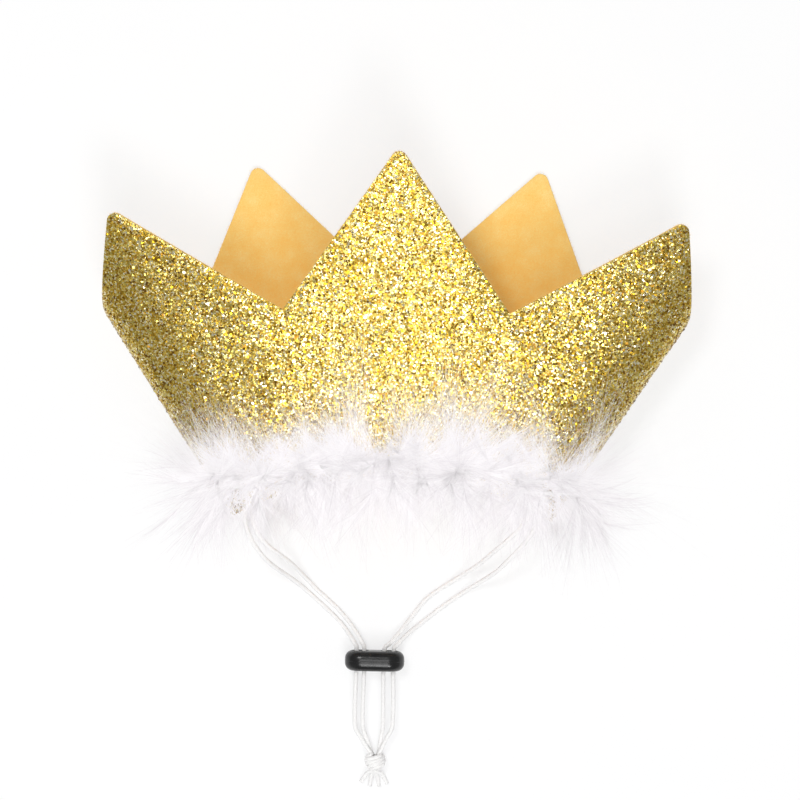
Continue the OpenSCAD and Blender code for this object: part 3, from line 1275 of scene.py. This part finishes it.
@dataclass
class FeatherTrim:
    """Marabou round the base: tufts of plumes, wisps of long thin barbs, short down and strays."""

    form: ConeForm
    tuft_count: int = 38
    tuft_jitter: float = 0.3
    plumes_a_tuft: int = 9
    plume_arc: float = 0.5
    plume_spin: float = 0.4
    strands_a_plume: int = 18
    strand_start: float = 0.02
    barbs_a_strand: int = 4
    # How far the barbs of a strand differ in opening and round the shaft, in radians
    cling: float = 0.09
    cling_round: float = 0.27
    barb_steps: int = 6
    # Angles round the oval from the front's middle, and how long the feathers are there
    lobes: tuple[tuple[float, float], ...] = (
        (-180, 1.0), (-85, 1.05), (-50, 0.95), (-24, 0.6), (-6, 1.1), (20, 1.1), (41, 0.7),
        (58, 1.15), (85, 1.05), (180, 1.0),
    )
    # Share of that difference in length which plumes that hang down also get
    lobe_least: float = 0.4
    root_rise: tuple[float, float] = (2.0, 8.0)
    root_off: tuple[float, float] = (0.3, 3.0)
    # How much higher the trim runs at the side folds
    climb: float = 9.0
    shaft_mm: tuple[float, float] = (9.0, 17.0)
    shaft_lean: tuple[float, float] = (20.0, 88.0)
    shaft_bend: float = 0.16
    # How far shafts lean towards the base edge, and how far they droop along their length
    hang: float = 0.3
    droop: float = 0.25
    # Gain in length at the side folds, and loss of it for plumes that stand up the band
    fold_gain: float = 1.12
    up_loss: float = 0.15
    barb_mm: tuple[float, float] = (9.0, 18.0)
    barb_open: tuple[float, float] = (8.0, 50.0)
    # Opening at a shaft's root, and how much of it is lost towards the tip, as shares
    root_open: float = 1.2
    tip_close: float = 0.5
    barb_width: tuple[float, float] = (0.09, 0.17)
    # How far barbs bend along their shaft, and how far they droop
    barb_follow: float = 0.15
    barb_droop: float = 0.1
    # How far bends differ between plumes, between strands and between barbs
    plume_curl: float = 0.14
    strand_curl: float = 0.11
    barb_curl: float = 0.04
    # How far the flat sides look out of the band and up, and how they differ
    face_out: float = 0.6
    face_up: float = 0.5
    face_spread: float = 0.3
    veil: LooseLay = LooseLay(
        count=16000, wisps=280, rise=(2.0, 8.0), reach=(12.0, 31.0), width=(0.04, 0.08),
        lie=(1.0, 0.15, 0.0), spread=0.62, curl=0.2,
    )
    down: LooseLay = LooseLay(
        count=11000, wisps=11000, rise=(-1.0, 8.0), reach=(3.0, 8.0), width=(0.09, 0.17),
        lie=(-0.6, 0.7, 0.0), spread=0.8, curl=0.4, sag=1.1,
    )
    strays: LooseLay = LooseLay(
        count=120, wisps=120, rise=(2.0, 8.0), reach=(16.0, 28.0), width=(0.09, 0.17),
        lie=(0.1, 0.2, 0.0), spread=0.8, curl=0.14,
    )
    # How far the barbs of a wisp differ in place and in direction, and how wisps differ
    wisp_arc: float = 0.6
    wisp_open: float = 0.2
    wisp_full: tuple[float, float] = (0.8, 1.24)
    wisp_tone: tuple[float, float] = (0.2, 1.0)
    hole_turn: float = 56.0
    # Least gap between barbs and band, and how softly it acts
    band_gap: float = 0.35
    band_soft: float = 1.2
    # How far below the base edge the band starts to push barbs out, and over what length
    band_below: float = 4.0
    band_over: float = 5.0
    floor_soft: float = 3.0
    floor_gap: float = 0.12
    # Height above which barbs droop, and how much higher they can come
    loft_from: float = 40.0
    loft: float = 17.0
    pieces: list[bpy.types.Object] = field(default_factory=list)

    def roots(self, arc: np.ndarray, rise: np.ndarray, off: np.ndarray) -> np.ndarray:
        """Places where barbs start.

        Args:
            arc: Arcs round the ring.
            rise: Heights above the base edge, along the slant, at the front's middle.
            off: Heights off the band.

        Returns:
            Points on the trim's line, which climbs towards the side folds.
        """
        turn = np.radians(self.form.turn_at(arc))
        slant = self.form.base_r + rise + self.climb * np.sin(turn) ** 2
        return self.form.laid(arc, slant, self.form.wall_t + off)

    def settle(self, points: np.ndarray, arc: np.ndarray) -> np.ndarray:
        """Keep points off the band and above the floor.

        Args:
            points: Points by line and place along it.
            arc: Arc of each line's root.

        Returns:
            The points, pushed out of the band, pressed on the floor and drooping at the top.
        """
        form = self.form
        ahead, out, _ = form.frame_at(arc)
        base = form.laid(arc, np.full_like(arc, form.base_r), np.zeros_like(arc))
        away = points - base[:, None]
        climb = (away * ahead[:, None]).sum(-1)
        height = (away * out[:, None]).sum(-1)
        least = form.wall_t + self.band_gap
        lifted = least + self.band_soft * np.logaddexp(0, (height - least) / self.band_soft)
        share = eased((climb + self.band_below) / self.band_over)
        points = points + (share * (lifted - height))[..., None] * out[:, None]
        z = points[..., 2]
        pressed = self.floor_soft * np.exp(np.minimum(0, z / self.floor_soft - 1))
        over = self.loft * np.tanh(np.maximum(0, z - self.loft_from) / self.loft)
        points[..., 2] = self.floor_gap + np.where(
            z < self.floor_soft, pressed, np.minimum(z, self.loft_from) + over
        )
        return points

    def fullness(self, arc: np.ndarray) -> np.ndarray:
        """How long the feathers are at arcs, as a share of their usual length."""
        turns, shares = zip(*self.lobes)
        return np.interp(self.form.turn_at(arc), turns, shares)

    def tuft_arcs(self, rng: np.random.Generator) -> np.ndarray:
        """Arcs of the tufts, with one at each side's punched hole.

        Args:
            rng: Seeded source of the natural spread.

        Returns:
            One arc a tuft.
        """
        shift = rng.uniform(-self.tuft_jitter, self.tuft_jitter, self.tuft_count)
        place = np.arange(self.tuft_count) + shift
        arcs = (place / self.tuft_count - 0.5) * self.form.sector
        for side in Side:
            hole = self.form.arc_at(side.value * self.hole_turn)
            arcs[np.abs(arcs - hole).argmin()] = hole
        return arcs

    def plumes(self, rng: np.random.Generator) -> Barbs:
        """Lay out the barbs of all plumes, each like a soft brush round its shaft.

        Args:
            rng: Seeded source of the natural spread.

        Returns:
            The barbs.
        """
        form, mates = self.form, self.barbs_a_strand
        each, count = self.strands_a_plume * mates, self.tuft_count * self.plumes_a_tuft
        strands, barbs = (count, self.strands_a_plume), (count, each)
        arc = np.repeat(self.tuft_arcs(rng), self.plumes_a_tuft)
        arc = arc + rng.normal(0, self.plume_arc, count)
        ahead, out, along = form.frame_at(arc)
        root = self.roots(
            arc, rng.uniform(*self.root_rise, count), rng.uniform(*self.root_off, count)
        )
        golden = np.pi * (3 - np.sqrt(5))
        spin = (np.arange(count) * golden + rng.normal(0, self.plume_spin, count))[:, None]
        lean = np.radians(rng.uniform(*self.shaft_lean, count))[:, None]
        up_band = np.cos(spin)
        way = unit(
            np.cos(lean) * out + np.sin(lean) * (up_band * ahead + np.sin(spin) * along)
            - self.hang * ahead
        )
        fold = np.sin(np.radians(form.turn_at(arc)))[:, None] ** 4
        upward = np.maximum(0, up_band)
        held = self.lobe_least + (1 - self.lobe_least) * upward
        full = 1 + (self.fullness(arc)[:, None] - 1) * held
        gain = (1 + (self.fold_gain - 1) * fold) * (1 - self.up_loss * upward) * full
        reach = rng.uniform(*self.shaft_mm, count)[:, None] * gain
        bend = rng.normal(0, self.shaft_bend, (count, 3)) - self.droop * UP
        share = np.repeat(rng.uniform(self.strand_start, 1.0, strands), mates, axis=1)[..., None]
        run = share * way[:, None] + share ** 2 * bend[:, None]
        start = root[:, None] + reach[:, None] * run
        shaft = unit(way[:, None] + 2 * share * bend[:, None])
        across = unit(np.cross(shaft, rng.normal(size=(count, 1, 3))))
        around = np.repeat(rng.uniform(0, 2 * np.pi, strands), mates, axis=1)
        around = (around + rng.normal(0, self.cling_round, barbs))[..., None]
        opening = np.repeat(rng.uniform(*self.barb_open, strands), mates, axis=1)[..., None]
        opening = np.radians(opening * (self.root_open - self.tip_close * share))
        opening = opening + rng.normal(0, self.cling, barbs)[..., None]
        barb_way = np.cos(opening) * shaft + np.sin(opening) * (
            np.cos(around) * across + np.sin(around) * np.cross(shaft, across)
        )
        barb_reach = rng.uniform(*self.barb_mm, barbs)[..., None] * gain[:, None]
        clump = rng.normal(0, self.plume_curl, (count, 1, 3))
        sweep = np.repeat(rng.normal(0, self.strand_curl, (*strands, 3)), mates, axis=1)
        own = rng.normal(0, self.barb_curl, (*barbs, 3))
        curl = self.barb_follow * shaft + clump + sweep + own - self.barb_droop * UP
        lines = bent_lines(
            start.reshape(-1, 3), barb_way.reshape(-1, 3), barb_reach.reshape(-1, 1),
            curl.reshape(-1, 3), self.barb_steps,
        )
        arcs = np.repeat(arc, each)
        facing = self.faced(rng, np.repeat(out, each, axis=0))
        widths = rng.uniform(*self.barb_width, len(lines))
        tones = np.repeat(rng.uniform(0, 1, strands), mates, axis=1).ravel()
        return Barbs(self.settle(lines, arcs), arcs, facing, widths, tones)

    def faced(self, rng: np.random.Generator, out: np.ndarray) -> np.ndarray:
        """Directions that the barbs' flat sides look to.

        Args:
            rng: Seeded source of the natural spread.
            out: Directions out of the band, one a barb.

        Returns:
            Unit vectors, one a barb.
        """
        mean = self.face_out * out + self.face_up * UP
        return unit(mean + rng.normal(0, self.face_spread, out.shape))

    def loose(self, rng: np.random.Generator, lay: LooseLay) -> Barbs:
        """Lay out barbs that start round the ring on their own or in wisps.

        Args:
            rng: Seeded source of the natural spread.
            lay: How the barbs lie.

        Returns:
            The barbs.
        """
        count, wisps, sector = lay.count, lay.wisps, self.form.sector
        owner = np.arange(count) % wisps
        place = rng.uniform(0, sector, wisps)[owner] + rng.normal(0, self.wisp_arc, count)
        arc = place % sector - sector / 2
        ahead, out, along = self.form.frame_at(arc)
        climb = self.climb * np.sin(np.radians(self.form.turn_at(arc))) ** 2
        height = rng.uniform(*lay.rise, count) - lay.sag * climb * rng.uniform(0, 1, count)
        root = self.roots(arc, height, rng.uniform(*self.root_off, count))
        lean = rng.normal(0, lay.spread, (wisps, 3))[owner]
        lean = lean + rng.normal(0, self.wisp_open, (count, 3))
        way = unit(lay.lie[0] * ahead + lay.lie[1] * out + lay.lie[2] * along + lean)
        full = rng.uniform(*self.wisp_full, wisps)[owner] * self.fullness(arc)
        length = (rng.uniform(*lay.reach, count) * full)[:, None]
        bend = rng.normal(0, lay.curl, (wisps, 3))[owner]
        bend = bend + rng.normal(0, lay.curl / 2, (count, 3))
        lines = bent_lines(root, way, length, bend, self.barb_steps)
        facing = self.faced(rng, out)
        widths = rng.uniform(*lay.width, count)
        tones = rng.uniform(*self.wisp_tone, wisps)[owner]
        return Barbs(self.settle(lines, arc), arc, facing, widths, tones)

    def build(self) -> None:
        """Make the feathers as four pieces round the ring."""
        rng = np.random.default_rng(5)
        groups = [self.plumes(rng)]
        for lay in (self.veil, self.down, self.strays):
            groups.append(self.loose(rng, lay))
        lines, arcs, facing, widths, tones = (
            np.concatenate([getattr(group, part) for group in groups])
            for part in ("lines", "arcs", "facing", "widths", "tones")
        )
        names = ("back_left", "front_left", "front_right", "back_right")
        place = np.floor((arcs / self.form.sector + 0.5) * len(names))
        place = np.clip(place, 0, len(names) - 1)
        for i, name in enumerate(names):
            mine = place == i
            self.pieces.append(ribbons(
                f"marabou_{name}", lines[mine], widths[mine], facing[mine], tones[mine]
            ))

    def dress(self) -> None:
        """Give the feathers their finish and their place in the frame."""
        down = MarabouDown().material()
        for piece in self.pieces:
            piece.data.materials.append(down)
            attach(piece, Body.CROWN.value)
            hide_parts("feather_trim")


LEFT_ROUTE = (
    (-5.1, -137.2, 5.4), (-9.1, -131.2, 5), (-11.1, -127.2, 5.2), (-11.1, -101.2, 5.2),
    (-12.3, -98.8, 4.2), (-15.3, -94.6, 2), (-19.5, -90.2, 0.8), (-26.5, -84, 0.9),
    (-31.1, -80, 2.8), (-35.1, -77, 6.2), (-39.1, -74, 10.8), (-42.7, -70.6, 14.4),
    (-46.5, -65.3, 16.2), (-48.9, -59.2, 16.9), (-49.1, -53.8, 17.7), (-48.3, -49.7, 19.1),
    (-47.9, -47.6, 21.5), (-47.8, -46.9, 25.7), (-48.3, -46.9, 28), (-50.1, -46.9, 29.5),
    (-52.7, -46.9, 29.2), (-56.5, -46.9, 26.3), (-60.9, -46.9, 21.9), (-61.9, -46.9, 17.8),
    (-60.9, -46.9, 13.7), (-56.5, -46.9, 9.3), (-52.7, -46.9, 6.4), (-50.1, -46.9, 6.1),
    (-48.3, -46.9, 7.6), (-47.8, -46.9, 9.9), (-47.7, -47.6, 13.7), (-47.3, -49.7, 15.9),
    (-46.9, -53.8, 16.1), (-45.8, -60.4, 15.5), (-41.9, -66.2, 14), (-37.7, -69.6, 11.6),
    (-33.7, -72.8, 8), (-29.7, -77, 3.6), (-25.1, -81.8, 0.9), (-17.5, -88.6, 0.8),
    (-12.9, -93.8, 2.2), (-9.7, -98.6, 4.2), (-8.5, -101.2, 5.2), (-8.5, -127.2, 5.2),
    (-7.3, -131.2, 4.4), (-5.1, -137.2, 3.5),
)
RIGHT_ROUTE = (
    (-3.1, -137.2, 5.4), (-0.3, -131.2, 5), (1.5, -127.2, 5.2), (1.5, -101.2, 5.2),
    (3.1, -99.2, 4.2), (6.3, -96, 2.4), (10.5, -92.6, 0.9), (19.3, -85.6, 0.8),
    (25.3, -81.4, 1.6), (29.5, -78.5, 4.2), (33.1, -75.9, 7.6), (36.5, -73, 11),
    (39.9, -69.2, 13.8), (43.9, -64.7, 15.6), (47.6, -59.2, 16.7), (49, -53.8, 17.7),
    (48.3, -49.7, 19.1), (47.9, -47.6, 21.5), (47.8, -46.9, 25.7), (48.3, -46.9, 28),
    (50.1, -46.9, 29.5), (52.7, -46.9, 29.2), (56.5, -46.9, 26.3), (60.9, -46.9, 21.9),
    (61.9, -46.9, 17.8), (60.9, -46.9, 13.7), (56.5, -46.9, 9.3), (52.7, -46.9, 6.4),
    (50.1, -46.9, 6.1), (48.3, -46.9, 7.6), (47.8, -46.9, 9.9), (47.7, -47.6, 13.7),
    (47.3, -49.7, 15.9), (46.2, -53.6, 16.1), (42.6, -59.4, 15.3), (38, -64, 13.6),
    (33.7, -68, 10.6), (29.7, -71.8, 6.6), (24.9, -75.4, 2.8), (19.5, -79, 0.9),
    (12.3, -84.2, 0.8), (8.1, -89.4, 0.9), (4.3, -94.4, 2.2), (0.3, -99.2, 4.2),
    (-1.7, -101.2, 5.2), (-1.7, -127.2, 5.2), (-2.3, -131.2, 4.4), (-3.1, -137.2, 3.5),
)


@dataclass(frozen=True)
class Braid:
    """Round braid of a cord: its sides and the relief of its yarns."""

    diameter: float = 1.5
    sides: int = 16
    yarns: int = 4
    pitch: float = 1.1
    relief: float = 0.045
    step: float = 0.24
    # Size of the small ring in the middle of each end, as a share of the full one
    end_share: float = 0.25
    floor_gap: float = 0.03

    def tube(self, line: np.ndarray) -> tuple[np.ndarray, np.ndarray]:
        """Make a braided tube along a line, with drawn-in ends and held above the floor.

        Args:
            line: Points down the middle, evenly spaced.

        Returns:
            Points and quads of the tube.
        """
        _, side, other = carried_frames(line)
        along = np.arange(len(line))[:, None] * self.step
        turn = np.linspace(0, 2 * np.pi, self.sides, endpoint=False)[None, :]
        lay = 2 * np.pi * along / self.pitch
        wave = np.cos(self.yarns * turn + lay) * np.cos(self.yarns * turn - lay)
        reach = self.diameter / 2 + self.relief * (wave - 0.5)
        ring = reach[..., None] * (
            np.cos(turn)[..., None] * side[:, None] + np.sin(turn)[..., None] * other[:, None]
        )
        first, last = (line[[i], None] + self.end_share * ring[[i]] for i in (0, -1))
        points = np.concatenate([first, line[:, None] + ring, last])
        points[..., 2] = np.maximum(points[..., 2], self.floor_gap)
        return points.reshape(-1, 3), grid_faces(len(points), self.sides)


@dataclass
class ChinElastic:
    """One doubled elastic: from the knot through the lock to the base, round its fold and back."""

    side: Side
    route: tuple[tuple[float, float, float], ...]
    length: float
    braid: Braid = field(default_factory=Braid)
    piece: bpy.types.Object | None = None
    line: np.ndarray | None = None

    def build(self) -> None:
        """Make the braided tube along the smooth route."""
        self.line = smooth_route(np.array(self.route, float), self.braid.step)
        points, faces = self.braid.tube(self.line)
        self.piece = mesh_piece(f"elastic_{self.side.name.lower()}", points, faces)
        turn_outward(self.piece, fill=True)
        LOG.info("%s elastic is %.1f mm long", self.side.name.lower(), length_of(self.line))

    def dress(self, finish: bpy.types.Material) -> None:
        """Give the elastic its finish and its place in the frame.

        Args:
            finish: Material of the braid.
        """
        self.piece.data.materials.append(finish)
        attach(self.piece, Body.CROWN.value)
        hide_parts(f"{self.side.name.lower()}_elastic")


@dataclass
class CordLock:
    """The oval bead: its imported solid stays, with a mould line round it."""

    middle: tuple[float, float, float] = (-4.95, -105.2, 5.5)
    width: float = 20.0
    height: float = 11.0
    ridge_h: float = 0.1
    ridge_w: float = 0.28
    ridge_steps: int = 128
    # Turn of its first point, which keeps points off the seams between round and straight
    ridge_start: float = 1e-4
    # Its section, in shares of its height and of half its width
    ridge_section: tuple[tuple[float, float], ...] = (
        (-2.0, 1.0), (0.6, 0.8), (1.0, 0.0), (0.6, -0.8), (-2.0, -1.0),
    )
    floor_gap: float = 0.01
    pieces: list[bpy.types.Object] = field(default_factory=list)

    def outline(self, grow: float) -> np.ndarray:
        """Points of the oval outline in the XZ plane, grown by a distance.

        Args:
            grow: Distance outwards.

        Returns:
            Points in two columns, from the right end round.
        """
        radius = self.height / 2 + grow
        straight = (self.width - self.height) / 2
        turn = np.linspace(0, 2 * np.pi, self.ridge_steps, endpoint=False) + self.ridge_start
        shift = np.where(np.cos(turn) >= 0, straight, -straight)
        return np.stack([shift + radius * np.cos(turn), radius * np.sin(turn)], -1)

    def build(self) -> None:
        """Make the mould line."""
        rows = []
        for high, across in self.ridge_section:
            flat = self.outline(high * self.ridge_h)
            y = np.full(len(flat), across * self.ridge_w / 2)
            rows.append(np.stack([flat[:, 0], y, flat[:, 1]], -1) + self.middle)
        points = np.concatenate(rows)
        points[:, 2] = np.maximum(points[:, 2], self.floor_gap)
        faces = grid_faces(len(rows), self.ridge_steps)
        self.pieces.append(mesh_piece("lock_mould_line", points, faces))

    def dress(self) -> None:
        """Give the lock its finish and its place in the frame."""
        finish = MouldedPlastic().material()
        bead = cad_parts["cord_lock"]
        bead.data.materials.clear()
        bead.data.materials.append(finish)
        for piece in self.pieces:
            piece.data.materials.append(finish)
            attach(piece, Body.LOCK.value)


@dataclass
class TailKnot:
    """Overhand knot of the four ends, with short cut tails."""

    middle: tuple[float, float, float] = (-4.1, -139.7, 4.4)
    wrap_r: float = 2.95
    wrap_l: float = 5.2
    wrap_turns: float = 1.1
    wrap_steps: int = 15
    # How the wrap's radius swells: its start and rate along half a sine wave, and its power
    swell_from: float = 0.18
    swell_rate: float = 0.9
    swell_power: float = 0.4
    tail_l: float = 9.0
    tail_places: tuple[float, ...] = (0.55, 0.78, 1.0)
    tail_dip: float = 22.0
    tail_fans: tuple[float, ...] = (-34.0, -12.0, 10.0, 30.0)
    # X and Z of the four ends of the elastics, their Y, and how far the strands reach over them
    starts: tuple[tuple[float, float], ...] = ((-5.1, 5.4), (-5.1, 3.5), (-3.1, 3.5), (-3.1, 5.4))
    start_y: float = -137.2
    start_over: float = 0.6
    braid: Braid = field(default_factory=lambda: Braid(diameter=1.42))
    piece: bpy.types.Object | None = None

    def strand(self, index: int) -> np.ndarray:
        """Route of one strand: in from its elastic, once round the others, and out as a tail.

        Args:
            index: Number of the strand.

        Returns:
            Points of its smooth route.
        """
        x, y, z = self.middle
        sx, sz = self.starts[index]
        begin = math.atan2(sz - z, sx - x)
        points = [np.array([sx, self.start_y + self.start_over, sz])]
        for share in np.linspace(0, 1, self.wrap_steps):
            turn = begin + share * self.wrap_turns * 2 * math.pi
            arch = math.sin(math.pi * min(1, self.swell_from + self.swell_rate * share))
            swell = self.wrap_r * arch ** self.swell_power
            points.append(np.array([
                x + swell * math.cos(turn),
                y + self.wrap_l * (0.5 - share),
                z + swell * math.sin(turn),
            ]))
        fan, dip = math.radians(self.tail_fans[index]), math.radians(self.tail_dip)
        way = np.array([
            math.cos(dip) * math.sin(fan), -math.cos(dip) * math.cos(fan), -math.sin(dip)
        ])
        for reach in self.tail_places:
            points.append(np.array(self.middle) + way * self.tail_l * reach)
        return smooth_route(np.array(points), self.braid.step)

    def build(self) -> None:
        """Make the four strands as one piece."""
        all_points, all_faces, start = [], [], 0
        for index in range(len(self.starts)):
            points, faces = self.braid.tube(self.strand(index))
            all_points.append(points)
            all_faces.append(faces + start)
            start += len(points)
        self.piece = mesh_piece(
            "overhand_knot", np.concatenate(all_points), np.concatenate(all_faces)
        )
        turn_outward(self.piece, fill=True)

    def dress(self, finish: bpy.types.Material) -> None:
        """Give the knot its finish and its place in the frame.

        Args:
            finish: Material of the braid.
        """
        self.piece.data.materials.append(finish)
        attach(self.piece, Body.CROWN.value)
        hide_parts("tail_knot")


@dataclass(frozen=True)
class Lamp:
    """One soft lamp: where it stands, what it looks at, its size and its power."""

    name: str
    place: tuple[float, float, float]
    size: float
    power: float
    code: str = "#FFFFFF"
    aim: tuple[float, float, float] = (0.0, -0.02, 0.0)

    def light(self) -> None:
        """Make the lamp as a square area light."""
        data = bpy.data.lights.new(self.name, "AREA")
        data.shape, data.size, data.energy = "SQUARE", self.size, self.power
        data.color = linear(self.code)[:3]
        lamp = bpy.data.objects.new(self.name, data)
        lamp.location = self.place
        look = Vector(self.aim) - Vector(self.place)
        lamp.rotation_euler = look.to_track_quat("-Z", "Y").to_euler()
        bpy.context.scene.collection.objects.link(lamp)


@dataclass(frozen=True)
class Studio:
    """Camera straight above, white floor, and soft light from above, the front and the upper left."""

    eye: tuple[float, float, float] = (0.0018, -0.0172, 1.0)
    roll: float = 1.18
    lens: float = 132.75
    sensor: float = 36.0
    far_clip: float = 20.0
    floor_half: float = 30.0
    zenith: float = 0.4
    horizon: float = 0.39
    lamps: tuple[Lamp, ...] = (
        Lamp("overhead_softbox", (-0.04, -0.5, 1.6), 0.5, 4.6),
        Lamp("front_head", (0.2, -0.9, 1.32), 0.42, 6.6),
        Lamp("key_softbox", (-0.3, 0.34, 1.2), 0.3, 5.0),
    )

    def camera(self) -> None:
        """Set the camera at the photograph's place and roll."""
        data = bpy.data.cameras.new("camera")
        data.lens, data.sensor_width, data.clip_end = self.lens, self.sensor, self.far_clip
        camera = bpy.data.objects.new("camera", data)
        camera.location = self.eye
        camera.rotation_euler = (0.0, 0.0, math.radians(self.roll))
        bpy.context.scene.collection.objects.link(camera)
        bpy.context.scene.camera = camera

    def room(self) -> None:
        """Make the floor, the lamps and a sky that is brighter overhead."""
        half = self.floor_half / MM
        corners = np.array([[-half, -half, 0], [half, -half, 0], [half, half, 0], [-half, half, 0]])
        floor = mesh_piece("floor", corners, np.array([[0, 1, 2, 3]]))
        floor.data.materials.append(PaperSweep().material())
        world = bpy.data.worlds.new("studio")
        world.use_nodes = True
        world.node_tree.nodes.clear()
        tree = world.node_tree
        way = add_node(
            tree, "ShaderNodeSeparateXYZ",
            {"Vector": add_node(tree, "ShaderNodeTexCoord").outputs["Generated"]},
        )
        level = add_node(
            tree, "ShaderNodeMapRange",
            {"Value": way.outputs["Z"], "To Min": self.horizon, "To Max": self.zenith},
        )
        sky = add_node(
            tree, "ShaderNodeBackground",
            {"Color": linear("#FFFFFF"), "Strength": level.outputs["Result"]},
        )
        add_node(tree, "ShaderNodeOutputWorld", {"Surface": sky.outputs[0]})
        bpy.context.scene.world = world
        for lamp in self.lamps:
            lamp.light()
        bpy.context.scene.view_settings.view_transform = "Standard"


def main() -> None:
    """Build the crown's pieces in order and log a few of their sizes."""
    logging.basicConfig(level=logging.INFO, format="%(name)s: %(message)s")
    studio = Studio()
    studio.camera()
    braid = BraidedElastic().material()
    elastics = (
        ChinElastic(Side.LEFT, LEFT_ROUTE, 0.279),
        ChinElastic(Side.RIGHT, RIGHT_ROUTE, 0.288),
    )
    for elastic in elastics:
        elastic.build()
        elastic.dress(braid)
    knot = TailKnot()
    knot.build()
    knot.dress(braid)
    lock = CordLock()
    lock.build()
    lock.dress()
    form = ConeForm()
    band = Band(form)
    band.build()
    band.dress()
    LOG.info("band: flat cut %.0f mm2, sector %.2f degrees", band.flat_area(), form.sector)
    trim = FeatherTrim(form)
    trim.build()
    trim.dress()
    LOG.info("trim: %d pieces", len(trim.pieces))
    studio.room()


if __name__ == "__main__":
    main()
